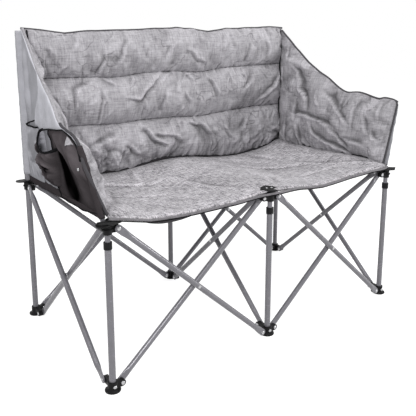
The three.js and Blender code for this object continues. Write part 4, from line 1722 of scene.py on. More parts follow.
@dataclass
class ArmPad:
    """A padded arm, from the back's corner down to the front, leaning out as it comes forward.

    Args:
        wardrobe: the finishes.
        side: which arm it is.
        columns: grid points along the arm.
        rows: grid points up the arm.
        front: place of its front edge.
        rear: place of its rear edge.
        inset: how far its foot lies inside the posts' middle.
        lean: how far the top of its front leans out.
        edge: thickness at the outline.
        pad: thickness in the middle.
        outer_pad: how far the outer face stands off the middle surface at its fullest.
        draw_width: width over which it thins to the rear.
        draw_front: width over which it thins to the front.
        draw_foot: height over which it thins to the foot.
        draw_top: height over which it thins to the top.
        hem_width: how far the rolled cloth stands off the skin.
        rolled_end: place where the left arm's rolled edge ends.
    """

    wardrobe: Wardrobe
    side: Side
    columns: int = 96
    rows: int = 70
    front: float = -0.2625
    rear: float = 0.2548
    inset: float = 0.007
    lean: float = 0.058
    edge: float = 0.007
    pad: float = 0.026
    outer_pad: float = 0.0085
    draw_width: float = 0.070
    draw_front: float = 0.045
    draw_foot: float = 0.05
    draw_top: float = 0.055
    hem_width: float = 0.006
    rolled_end: float = -0.080

    def top_at(self, y: Array) -> Array:
        """Height of the top edge: the left arm sags more at its front.

        Args:
            y: places along the arm.

        Returns:
            One height per point.
        """
        ends = {
            Side.LEFT: [(-0.2625, 0.596), (-0.257, 0.614), (-0.245, 0.630), (-0.225, 0.642), (-0.196, 0.650),
                        (-0.145, 0.656), (-0.092, 0.660), (-0.062, 0.676), (-0.030, 0.702)],
            Side.RIGHT: [(-0.2625, 0.660), (-0.2605, 0.669), (-0.254, 0.674), (-0.238, 0.677), (-0.213, 0.678),
                         (-0.196, 0.671), (-0.170, 0.677), (-0.145, 0.685), (-0.120, 0.690), (-0.095, 0.690),
                         (-0.068, 0.686), (-0.048, 0.691), (-0.020, 0.706)],
        }
        shared = [(0.017, 0.732), (0.060, 0.754), (0.117, 0.789), (0.166, 0.832), (0.200, 0.860),
                  (0.235, 0.890), (0.2548, 0.908)]
        return broken_line(ends[self.side] + shared, y)

    @property
    def body(self) -> str:
        """The body that the arm rides on."""
        return f"rear_{self.side.word}_hub"

    def creases(self) -> tuple[Crease, ...]:
        """Folds in the inner face, by place along the arm and height.

        Returns:
            The folds.
        """
        return creases_of(
            (80, 11, 158, 782, 112, 704, 82, 656, 80, 611),
            (75, 9, 165, 603, 86, 600, 24, 587, -9, 585, -56, 556),
            (80, 9, 64, 567, 21, 527, -60, 498, -148, 477), (60, 11, 9, 691, -51, 638, -117, 578),
            (40, 5, -129, 673, -131, 551), (35, 5, -226, 662, -227, 610), (45, 8, -217, 562, -241, 542),
            (35, 10, 217, 770, 222, 707), (45, 9, 193, 563, 198, 488), (40, 10, 120, 560, 110, 490),
            (40, 9, -100, 540, -190, 520), (55, 10, 130, 640, 150, 560), (50, 9, 40, 680, 20, 620),
            (60, 9, -30, 560, -90, 530, -120, 500), (35, 9, 200, 840, 180, 790), (45, 9, -160, 610, -200, 560),
        ) + gathers((0.475,), -0.24, 0.24, 14, 14) + gathers((0.66,), -0.24, -0.02, 8, 15)

    def depth_share(self, y: Array) -> Array:
        """Place along the arm, 0 at the rear and 1 at the front."""
        return np.clip((self.rear - y) / (self.rear - self.front), 0, 1)

    def height_share(self, y: Array, z: Array) -> Array:
        """Height in the arm, 0 at the foot and 1 at the top."""
        return np.clip((z - LAYOUT.arm_bottom) / (self.top_at(y) - LAYOUT.arm_bottom), 0, 1)

    def middle_at(self, y: Array, z: Array) -> Array:
        """Distance of the arm's middle surface from the middle plane.

        The lean grows as (share of the depth)^1.2 times the share of the height.
        """
        tilt = self.lean * self.depth_share(y) ** 1.2 * self.height_share(y, z)
        return LAYOUT.post_x - self.inset + tilt

    def outer_at(self, y: Array, z: Array) -> Array:
        """Distance of the outer face from the middle plane, without its ripples."""
        rise = crown(self.depth_share(y), 0.3) * crown(self.height_share(y, z), 0.3)
        return self.middle_at(y, z) + self.edge / 2 + (self.outer_pad - self.edge / 2) * rise

    def draw_at(self, y: Array, z: Array) -> Array:
        """How full the pad is: 1 - (1 - d/w)^2 for the distance d to the nearest sewn edge.

        Args:
            y: places along the arm.
            z: heights.

        Returns:
            0 at the edges to 1 inside.
        """
        rear = np.clip((self.rear - y) / self.draw_width, 0, 1)
        front = np.clip((y - self.front) / self.draw_front, 0, 1)
        foot = np.clip((z - LAYOUT.arm_bottom) / self.draw_foot, 0, 1)
        top = np.clip((self.top_at(y) - z) / self.draw_top, 0, 1)
        parts = [1 - (1 - share) ** 2 for share in (rear, front, foot, top)]
        return np.prod(parts, axis=0)

    def grids(self) -> tuple[Array, Array, Array, Array]:
        """Inner and outer face as seen from inside, cloth coordinates and fullness.

        Returns:
            Two (rows, columns, 3) grids, one with 2 values and one with 1 value per point.
        """
        y = self.rear + (self.front - self.rear) * eased(self.columns)[None]
        high = self.top_at(y) + 0.0015 * soft_noise(y, 0 * y, 0.03, 5 + self.side.value)
        z = LAYOUT.arm_bottom + (high - LAYOUT.arm_bottom) * eased(self.rows)[:, None]
        y = np.broadcast_to(y, z.shape)
        height = (z - LAYOUT.arm_bottom) / (high - LAYOUT.arm_bottom)
        rise = self.draw_at(y, z)
        middle = self.middle_at(y, z)
        bulk = 0.005 * soft_noise(y, z, 0.08, 41 + self.side.value)
        pucker = 0.0022 * soft_noise(y, z, 0.018, 42) + 0.0035 * soft_noise(y - 0.5 * z, z, 0.05, 43)
        inner = self.edge / 2 + (self.pad - self.edge) * rise + rise * (bulk + pucker)
        fold = self.outer_folds(y, z) * crown(height, 0.3)
        outer = self.outer_at(y, z) - middle + fold
        across = self.side.value
        inner_face = np.stack([across * (middle - inner), y, z], axis=-1)
        outer_face = np.stack([across * (middle + outer), y, z], axis=-1)
        return inner_face, outer_face, np.stack([y, z], axis=-1), rise

    def emboss(self, obj: bpy.types.Object) -> None:
        """Press the folds into the inner face, where Tone holds its fullness, and write the painted shade of
        both faces.

        Args:
            obj: the swollen pad.
        """
        places, rise = point_places(obj), point_tones(obj)
        y, z = places[:, 1], places[:, 2]
        is_inner = rise > -0.01
        rise = np.clip(rise, 0, 1)
        folds = relief_of(self.creases(), *bent(y, z, 0.008, 0.030, 45))
        patches = smooth_step(-0.5, 0.5, soft_noise(y, z, 0.09, 47))
        folds = folds + (0.0014 + 0.0020 * patches) * crumple(y, z, 0.060, 80)
        places[:, 0] -= self.side.value * np.where(is_inner, np.clip(1.6 * rise, 0, 1) * folds, 0)
        # painted shade in the folds and painted highlight on their lips, with painted shadow along the rear
        # edge by the back and along the foot by the seat
        shade = fold_shade(folds, 0.0055) - 0.5 * np.exp(-np.clip(self.rear - y, 0, None) / 0.012)
        shade = shade - 0.6 * np.exp(-np.clip(z - LAYOUT.arm_bottom - 0.010, 0, None) / 0.010)
        shade = shade + 0.14 * soft_noise(y + z, z, 0.06, 44) + 0.10 * soft_noise(y, z, 0.02, 46)
        outside = self.outer_shade(y, z)
        reshape_points(obj, places, np.where(is_inner, np.clip(shade, -1, 0.4), outside))

    def turned_edge(self, z: Array) -> Array:
        """Place of the edge of the padded cloth that is rolled over the top onto the outside.

        Args:
            z: heights.

        Returns:
            The place along the arm at each height.
        """
        heights = [0.622, 0.638, 0.682, 0.720, 0.748, 0.781, 0.819, 0.905]
        places = [0.158, 0.156, 0.144, 0.107, 0.096, 0.111, 0.166, 0.262]
        return np.interp(z, heights, places)

    def outer_folds(self, y: Array, z: Array) -> Array:
        """Relief of the outer skin: thicker in front of the rolled edge, which has a rib, and soft folds.

        Args:
            y: places along the arm.
            z: heights.

        Returns:
            One height per point, outward.
        """
        present = smooth_step(0.615, 0.640, z) * smooth_step(-0.100, -0.060, y)
        rolled = smooth_step(0.0, 0.008, self.turned_edge(z) - y)
        rib = np.exp(-(((self.turned_edge(z) - y - 0.006) / 0.006) ** 2))
        drape = Crease(((0.225, 0.860), (0.215, 0.740), (0.205, 0.650)), 0.005, 0.020).relief(y, z)
        edge = (self.hem_width * rolled + self.hem_width / 2 * rib) * present
        return edge + drape + 0.0015 * soft_noise(y, z, 0.05, 47)

    def skin_at(self, y: Array, z: Array) -> Array:
        """Distance of the outer skin from the middle plane, with its folds."""
        return self.outer_at(y, z) + self.outer_folds(y, z) * crown(self.height_share(y, z), 0.3)

    def outer_shade(self, y: Array, z: Array) -> Array:
        """Tone of the outer skin: the rolled edge is pale, with a dark line of painted shade behind it, and the
        skin is darker lower down.

        Args:
            y: places along the arm.
            z: heights.

        Returns:
            One tone per point.
        """
        behind = y - self.turned_edge(z)
        above = smooth_step(0.615, 0.640, z)
        pale = 0.38 * smooth_step(-0.004, 0.004, -behind) * above
        # painted shade: a dark line in the fold behind the rolled edge
        dark = -0.55 * np.exp(-((behind / 0.005) ** 2)) * above
        under = -0.25 * smooth_step(0.70, 0.62, z) * (1 - above * smooth_step(0.0, 0.01, -behind))
        shade = pale + dark + under
        if self.side is Side.LEFT:  # painted light on the skin that shows over the cup pocket's mouth, where it lies in shade
            pocket_mouth_light = np.exp(-(((y - 0.012) / 0.045) ** 4))
            shade = shade + 0.55 * pocket_mouth_light * smooth_step(0.55, 0.58, z) * (1 - above)
        return shade + 0.12 * soft_noise(y, z, 0.04, 48)

    def build(self) -> None:
        """Make the pad, let it swell, and finish it."""
        grids = self.grids()
        if self.side is Side.LEFT:
            grids = [grid[:, ::-1] for grid in grids]
        obj = swollen_pad(f"cloth_arm_{self.side.word}", grids, 0.15, self.wardrobe)
        self.emboss(obj)
        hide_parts(f"arm_panel_{self.side.word}")
        place(obj, self.body, DEEP)

    def dress(self) -> None:
        """Piping round the top and the front edge, in one line, with the left arm's rolled edge before it."""
        inner, outer = self.grids()[:2]
        edge = (inner + outer) / 2
        line = relaxed(resampled(np.vstack([edge[-1], edge[-2::-1, -1]]), 0.004), 6)
        form = (0.0042, (1, 0, 0.05), 10)
        if self.side is Side.LEFT:
            bend = int(np.flatnonzero(line[:, 1] < self.rolled_end)[0])
            sew_cord("rolled_edge_arm_left", line[:bend], *form, self.wardrobe.linen, self.body, Slot.GREY)
            line = line[bend - 1:]
        sew_cord(f"piping_arm_{self.side.word}", line, *form, self.wardrobe.piping, self.body)

    def corner_seam(self, back: BackPad) -> None:
        """The black seam where the arm meets the back, and a dark cord along the arm's foot as painted shade
        where the arm meets the seat.

        Args:
            back: the back that the arm meets.
        """
        line = resampled(back.corner_line(self.side.value * 0.5005)[4:-2], 0.012)
        line[:, 0] = self.side.value * 0.5015
        relaxed(line[:, 1], 4)
        line[:, 1] -= 0.001
        sew_cord(f"seam_corner_{self.side.word}", line, 0.0022, (0, 1, 0), 8, self.wardrobe.binding, self.body)
        # a dark cord laid in the crease at the arm's foot: painted shade where the arm meets the seat
        y = np.linspace(0.240, -0.236, 100)
        x = np.full_like(y, 0.5070)
        line = np.stack([self.side.value * x, y, back.seat.top(x, y) + 0.0030], axis=-1)
        sew_cord(f"seam_arm_foot_{self.side.word}", line, 0.0036, (1, 0, 0), 8, self.wardrobe.thread, self.body)

    def sleeve(self, half_width: float = 0.0104) -> None:
        """The cloth sleeve round the rear post: a circle drawn to a point at the arm's rear edge.

        Args:
            half_width: radius of the circle.
        """
        turn = np.linspace(0, 2 * math.pi, 28, endpoint=False)
        height = np.linspace(0.468, 0.901, 60)[:, None]
        radius = half_width + 0.0008 * soft_noise(turn[None] * 0.01, height, 0.012, 62)
        to_point = np.clip(-np.sin(turn), 0, 1)[None] ** 5
        x = radius * np.cos(turn) * (1 - 0.75 * to_point) - 0.0045 * to_point
        y = radius * np.sin(turn) - 0.0075 * to_point
        points = np.stack([self.side.value * (LAYOUT.post_x + x), LAYOUT.post_y + y, height + 0 * x], axis=-1)
        uv = np.stack(np.broadcast_arrays(turn[None] * half_width, height), axis=-1)
        shape = ring_shape(points, uv, flip=self.side is Side.LEFT)
        # painted shade on the half of the sleeve that faces the rear
        shape.tone = np.broadcast_to(-0.6 * smooth_step(-0.2, 0.4, np.sin(turn)), x.shape).ravel()
        place(shape.to_object(f"post_sleeve_{self.side.word}", self.wardrobe.outer), self.body)


@dataclass
class FrontApron:
    """The cloth on the outside of an arm's front, charcoal on the left and pale on the right, and its pole.

    Args:
        wardrobe: the finishes.
        arm: the arm that it is sewn to.
        rear: place of its rear edge.
        stand_off: how far it lies off the arm's skin.
        columns: grid points along the arm.
        rows: grid points up the arm.
        bulge: height of its folds.
        cut_width: length along which the apron is sewn; not used.
        skirt_length: length along which the side skirt is sewn; not used.
        lining_width: length along which the lining's corner is sewn.
        snap_at: place of the snap along the arm, and its height.
        hollow: middle line of the deep hollow, as places along the arm and heights.
    """

    wardrobe: Wardrobe
    arm: ArmPad
    rear: float = 0.002
    stand_off: float = 0.0025
    columns: int = 84
    rows: int = 70
    bulge: float = 0.019
    cut_width: float = 0.264
    skirt_length: float = 0.496
    lining_width: float = 0.046
    snap_at: tuple[float, float] = (-0.238, 0.578)
    hollow: tuple[tuple[float, float], ...] = (
        (-0.046, 0.628), (-0.056, 0.585), (-0.084, 0.545), (-0.098, 0.500))

    @property
    def finish(self) -> bpy.types.Material:
        """Charcoal on the left arm, pale cloth on the right one."""
        return self.wardrobe.charcoal if self.arm.side is Side.LEFT else self.wardrobe.outer

    def low_at(self, y: Array) -> Array:
        """Height of the bottom hem."""
        places = [-0.2625, -0.221, -0.134, -0.073, 0.0]
        return np.interp(y, places, [0.456, 0.457, 0.445, 0.451, 0.450])

    def high_at(self, y: Array) -> Array:
        """Height of the top edge: under the piping at the front, below the rolled cloth behind.

        Args:
            y: places along the arm.

        Returns:
            One height per point.
        """
        places = [-0.2605, -0.145, -0.105, -0.078, 0.003, 0.073]
        heights = [0.660, 0.660, 0.654, 0.650, 0.642, 0.631]
        lift = 0.0 if self.arm.side is Side.LEFT else 0.022
        return np.minimum(np.interp(y, places, heights) + lift, self.arm.top_at(y) - 0.0015)

    def relief(self, y: Array, z: Array) -> tuple[Array, Array]:
        """Height and painted shade of the folds: one deep hollow between two bulges, and small ripples.

        Args:
            y: places along the arm.
            z: heights.

        Returns:
            The height as a share of the bulge, and the tone.
        """
        away, along, _ = Crease(self.hollow).distance(y, z)
        valley = np.exp(-((away / (0.012 + 0.034 * along)) ** 4)) * smooth_step(-0.05, 0.15, along)
        height = self.high_at(y) - z
        upper = np.exp(-(((height - 0.040) / 0.040) ** 2)) * smooth_step(0.0, -0.05, y)
        front = np.exp(-(((y + 0.206 + 0.20 * (z - 0.56)) / 0.028) ** 2)) * smooth_step(0.44, 0.50, z)
        rear = np.exp(-(((y + 0.004) / 0.016) ** 2))
        ripple = 0.10 * soft_noise(y + 0.35 * z, 0.3 * z, 0.018, 51) + 0.12 * soft_noise(y, z, 0.03, 52)
        amount = (0.65 * upper + 0.65 * front + 0.2 * rear + ripple) * (1 - 0.98 * np.clip(valley * 1.4, 0, 1))
        # painted shade in the deep hollow, painted highlights on the upper and front bulges, and the ripples
        # painted lighter on their crests and darker in their dips
        shade = -1.0 * np.clip(valley * 1.3, 0, 1) + 1.2 * upper * (1 - valley) + 0.3 * front + 0.8 * ripple
        return np.clip(amount, 0, 1.4), np.clip(shade, -0.98, 1.6)

    def surface_at(self, y: Array, z: Array) -> tuple[Array, Array]:
        """Distance of the apron from the middle plane, and its shade.

        Args:
            y: places along the arm.
            z: heights.

        Returns:
            One distance and one tone per point.
        """
        low, high = self.low_at(y), self.high_at(y)
        v = (z - low) / (high - low)
        amount, shade = self.relief(y, z)
        fade = smooth_step(0, 0.10, v) * smooth_step(1.0, 0.93, v)
        near_front = smooth_step(0.004, 0.030 if self.arm.side is Side.LEFT else 0.110, y - self.arm.front)
        x = self.arm.skin_at(y, z) + self.stand_off + self.bulge * amount * fade * near_front
        return x, shade * (0.4 + 0.6 * fade)

    def grid(self) -> tuple[Array, Array, Array]:
        """The apron on the arm's outer face, its cloth coordinates and its shade.

        Returns:
            A (rows, columns, 3) grid, one with 2 values and one with 1 value per point.
        """
        u = np.linspace(0, 1, self.columns)[None]
        v = np.linspace(0, 1, self.rows)[:, None]
        y = self.rear + (self.arm.front + 0.002 - self.rear) * u + 0 * v
        z = self.low_at(y) + (self.high_at(y) - self.low_at(y)) * v
        x, shade = self.surface_at(y, z)
        return np.stack([self.arm.side.value * x, y, z], axis=-1), np.stack([y, z], axis=-1), shade

    def build(self) -> None:
        """Make the apron, its bindings, the pole with its sleeve, the side skirt and the left arm's details."""
        points, uv, shade = self.grid()
        is_left = self.arm.side is Side.LEFT
        word = self.arm.side.word
        shape = sheet_shape(points, uv, face_down=not is_left)
        shape.tone = shade.ravel() if is_left else 0.15 * shade.ravel() - 0.20
        obj = shape.to_object(f"apron_{word}", self.finish)
        sew_sheet(obj, self.arm.body, round_out=True)
        self.bindings(points)
        self.pole()
        self.skirt()
        if is_left:
            self.lining()
            at = self.nearest(points, *self.snap_at) - np.array([0.0004, 0, 0])
            snap = rivet_head(at, (-1, 0, 0), 0.0045, 0.0026).to_object("apron_snap", self.wardrobe.steel)
            mark_sharp(snap, 40)
            place(snap, self.arm.body, DEEP)

    def bindings(self, points: Array) -> None:
        """Black tape round the apron, which runs on to the pockets along the left one's top.

        Args:
            points: the apron's grid.
        """
        side = self.arm.side
        edges = {"rear": points[:, 0], "hem": points[0], "top": points[-1]}
        if side is Side.LEFT:
            y = np.linspace(0.073, 0.004, 20)
            z = self.high_at(y)
            behind = np.stack([-(self.arm.skin_at(y, z) + self.stand_off), y, z], axis=-1)
            edges["top"] = np.vstack([behind, points[-1]])
        for name, line in edges.items():
            path = resampled(line + np.array([side.value * 0.0006, 0, 0]), 0.006)
            sew_cord(f"apron_{name}_binding_{side.word}", path, 0.0028 if name == "rear" else 0.0020,
                     (1, 0, 0.02), 8, self.wardrobe.binding, self.arm.body)

    @staticmethod
    def nearest(points: Array, y: float, z: float) -> Array:
        """The grid point nearest to a place and a height."""
        gap = np.hypot(points[..., 1] - y, points[..., 2] - z)
        return points[np.unravel_index(np.argmin(gap), gap.shape)]

    def lining(self) -> None:
        """A corner of pale lining that shows in the top fold of the apron."""
        u, v = np.meshgrid(np.linspace(0, 1, 14), np.linspace(0, 1, 8))
        y = -0.184 - self.lining_width * u + 0.008 * v
        z = self.high_at(y) - 0.003 - 0.015 * v * (1 - np.abs(2 * u - 1)) ** 0.7
        x = -(self.surface_at(y, z)[0] + 0.0022)
        grid = np.stack([x, y, z], axis=-1)
        shape = sheet_shape(grid[:, ::-1], np.stack([y, z], axis=-1), face_down=True)
        obj = shape.to_object("apron_lining", self.wardrobe.linen)
        sew_sheet(obj, self.arm.body)

    def skirt(self) -> None:
        """The dark strip that joins the arm to the seat along its side."""
        side = self.arm.side
        y = np.linspace(0.250, -0.246, 90)[None]
        v = np.linspace(0, 1, 8)[:, None]
        z = 0.4465 + 0.026 * v - 0.0015 * soft_noise(y, 0 * y, 0.03, 81) * (1 - v)
        x = LAYOUT.seat_half_width + 0.0022 + 0.0015 * np.sin(math.pi * v) + 0.001 * soft_noise(y, z, 0.02, 82)
        grid = np.stack(np.broadcast_arrays(side.value * x, y, z), axis=-1)
        shape = sheet_shape(grid, grid[..., 1:], face_down=side is Side.RIGHT)
        obj = shape.to_object(f"side_skirt_{side.word}", self.wardrobe.charcoal)
        sew_sheet(obj, self.arm.body)

    def pole(self, radius: float = 0.006, short: float = 0.024) -> None:
        """The arm pole and its sleeve, along the axis of its node.

        Args:
            radius: the tube's radius.
            short: how far the left pole stays below its node's top.
        """
        word, side = self.arm.side.word, self.arm.side.value
        is_left = self.arm.side is Side.LEFT
        low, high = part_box(f"arm_pole_{word}")
        foot = np.array([side * (min(abs(low.x), abs(high.x)) + radius), low.y + radius, low.z])
        top = np.array([side * (max(abs(low.x), abs(high.x)) - radius), high.y - radius, high.z])
        if is_left:
            top = top - (top - foot) * short / (top[2] - foot[2])
        pole = tube_shape(np.linspace(foot, top, 6), radius, (0, 1, 0), 24)
        obj = pole.to_object(f"tube_arm_pole_{word}", self.wardrobe.paint)
        stand_in(obj, f"arm_pole_{word}", f"front_{word}_hub", 50)
        share = np.linspace(0.05, 1.015, 50)[:, None]
        radii = 0.0078 + 0.0011 * soft_noise(share[:, 0] * 0.22, 0 * share[:, 0], 0.016, 61)
        sleeve = tube_shape(foot + (top - foot) * share, radii, (0, 1, 0), 24)
        sleeve.tone = np.full(len(sleeve.points), 0.0 if is_left else -0.35)
        place(sleeve.to_object(f"pole_sleeve_{word}", self.finish), f"front_{word}_hub")


@dataclass
class Pouch:
    """A soft pocket on the left arm's outer face, open at the top, with a bound mouth.

    Args:
        wardrobe: the finishes.
        arm: the arm that it is sewn to.
        name: the piece's name.
        node: the solid that it stands for.
        middle: place of the middle of the mouth along the arm.
        width: width of the mouth.
        depth: how far the mouth stands out.
        top: height of the mouth.
        bottom: height of the bottom.
        bottom_share: width of the bottom as a share of the mouth.
        roundness: exponent of the mouth's curve, small for a squarer one.
        crumple: height of its crumples.
        rim_dip: how far the middle of the mouth hangs.
        rim_fall: how far the front end of the mouth hangs below the rear one.
        rim_radius: half width of the mouth's binding.
        gloom: strength of the painted shade that darkens its bottom.
        columns: grid points along the mouth.
        rows: grid points up the pocket.
        charcoal: whether it is dark cloth instead of pale.
        cloth: thickness of its cloth.
    """

    wardrobe: Wardrobe
    arm: ArmPad
    name: str
    node: str
    middle: float
    width: float
    depth: float
    top: float
    bottom: float
    bottom_share: float
    roundness: float
    crumple: float
    rim_dip: float
    rim_fall: float
    rim_radius: float
    gloom: float = 0.0
    columns: int = 70
    rows: int = 60
    charcoal: bool = True
    cloth: float = 0.0014

    def grid(self) -> tuple[Array, Array, Array]:
        """The pocket's front, narrowing downwards as the root of the height, its coordinates and painted shade.

        Returns:
            A (rows, columns, 3) grid, one with 2 values and one with 1 value per point.
        """
        turn = np.linspace(0, math.pi, self.columns)[None]
        height = np.linspace(0, 1, self.rows)[:, None]
        narrow = self.bottom_share + (1 - self.bottom_share) * np.sqrt(height)
        y = self.middle - self.width / 2 * narrow * np.cos(turn)
        swing = np.sin(turn)
        fall = self.rim_fall * (1 + np.cos(turn)) / 2 + self.rim_dip * swing**1.5
        z = self.bottom + (self.top - self.bottom) * height - fall * height**2
        belly = np.sin(math.pi * np.clip(0.12 + 0.62 * height, 0, 1)) ** 0.7
        out = self.depth * narrow * swing**self.roundness * belly
        quiet = np.clip(swing * 1.6, 0, 1) * smooth_step(1.0, 0.85, height) * smooth_step(0.0, 0.15, height)
        wrinkle = 0.1 - 1.5 * crumple(y, z, 0.045, 71)
        out = out + self.crumple * wrinkle * quiet
        x = self.arm.skin_at(y, z) + 0.0012 + np.clip(out, 0, None)
        # painted highlights on the crumples' crests and painted shade in their hollows, and painted shade
        # towards the bottom
        shade = np.clip(1.3 * wrinkle - 0.45, -0.9, 1.5) * quiet - self.gloom * smooth_step(0.62, 0.50, z)
        return np.stack([-x, y, z], axis=-1), np.stack([y, z], axis=-1), shade

    def build(self) -> None:
        """Make the pocket's cloth, its back sheet and its bound mouth."""
        points, uv, shade = self.grid()
        cloth = self.wardrobe.charcoal if self.charcoal else self.wardrobe.outer
        front = sheet_shape(points, uv, face_down=True)
        front.tone = shade.ravel() * (1.0 if self.charcoal else 0.25)
        obj = front.to_object(self.name, cloth, self.wardrobe.outer)
        sew_sheet(obj, self.arm.body, self.cloth,
                  node=self.node, round_out=True, lined=True)
        sew_cord(f"{self.name}_binding", resampled(points[-1], 0.003), self.rim_radius, (0, 0, 1), 10,
                 self.wardrobe.binding, self.arm.body, flatness=1.6)

    def slot(self) -> None:
        """The black slot above the flat pocket, sunk in the arm's outer skin."""
        y = np.linspace(0.246, 0.152, 24)
        z = broken_line(((0.152, 0.649), (0.246, 0.629)), y)
        line = np.stack([-(self.arm.skin_at(y, z) + 0.001), y, z], axis=-1)
        sew_cord("flat_pocket_slot", line, 0.0020, (1, 0, 0.02), 8, self.wardrobe.binding, self.arm.body)


@dataclass
class Brace:
    """A painted tube pressed flat round its end rivets.

    Args:
        start: middle of the lower pivot.
        end: middle of the upper pivot.
        facing: direction across the flattened ends, away from the ears.
        radius: radius of the round part.
        flat_half_width: half width of the flat ends.
        flat_half_thickness: half thickness of the flat ends.
        reach: how far the tube goes on beyond its pivots.
        flat_length: length of the flat part from the pivot.
        taper: length of the change from flat to round.
        sides: corners of a ring.
    """

    start: Array
    end: Array
    facing: Array
    radius: float = 0.008
    flat_half_width: float = 0.010
    flat_half_thickness: float = 0.0025
    reach: float = 0.010
    flat_length: float = 0.013
    taper: float = 0.030
    sides: int = 24

    def half(self, share: Array) -> tuple[Array, Array, Array]:
        """Half width, half thickness and squareness by distance from the nearer pivot.

        Args:
            share: distance from the nearer pivot, below 0 beyond it.

        Returns:
            The half width, the half thickness and the exponent of the section.
        """
        flat = 1 - smooth_step(self.flat_length, self.flat_length + self.taper, share)
        tip = np.sqrt(np.clip(1 - (np.clip(-share, 0, None) / self.reach) ** 2, 0, 1))
        width = (self.radius + (self.flat_half_width - self.radius) * flat) * tip
        thickness = self.radius + (self.flat_half_thickness - self.radius) * flat
        return width, thickness * (0.55 + 0.45 * tip), 1 - 0.55 * flat

    def shape(self) -> Shape:
        """Rings of start + s along + w |cos a|^p across + t |sin a|^p facing, with p by squareness.

        Returns:
            The tube, capped at both ends.
        """
        along = self.end - self.start
        length = float(np.linalg.norm(along))
        along = along / length
        across = np.cross(self.facing, along)
        lead = np.concatenate([
            -self.reach * np.cos(np.linspace(0.04, math.pi / 2, 9)),
            np.linspace(0, self.flat_length + self.taper, 16)[1:],
        ])
        run = np.concatenate([lead, [length / 4, length / 2, 3 * length / 4], length - lead[::-1]])
        width, thickness, power = self.half(np.minimum(run, length - run))
        turn = (np.arange(self.sides) + 0.5) * 2 * math.pi / self.sides
        points = self.start + run[:, None, None] * along
        for size, value, direction in ((width, np.cos(turn), across), (thickness, np.sin(turn), self.facing)):
            squared = np.sign(value) * np.abs(value) ** power[:, None]
            points = points + (size[:, None] * squared)[..., None] * direction
        return ring_shape(points, flip=True)


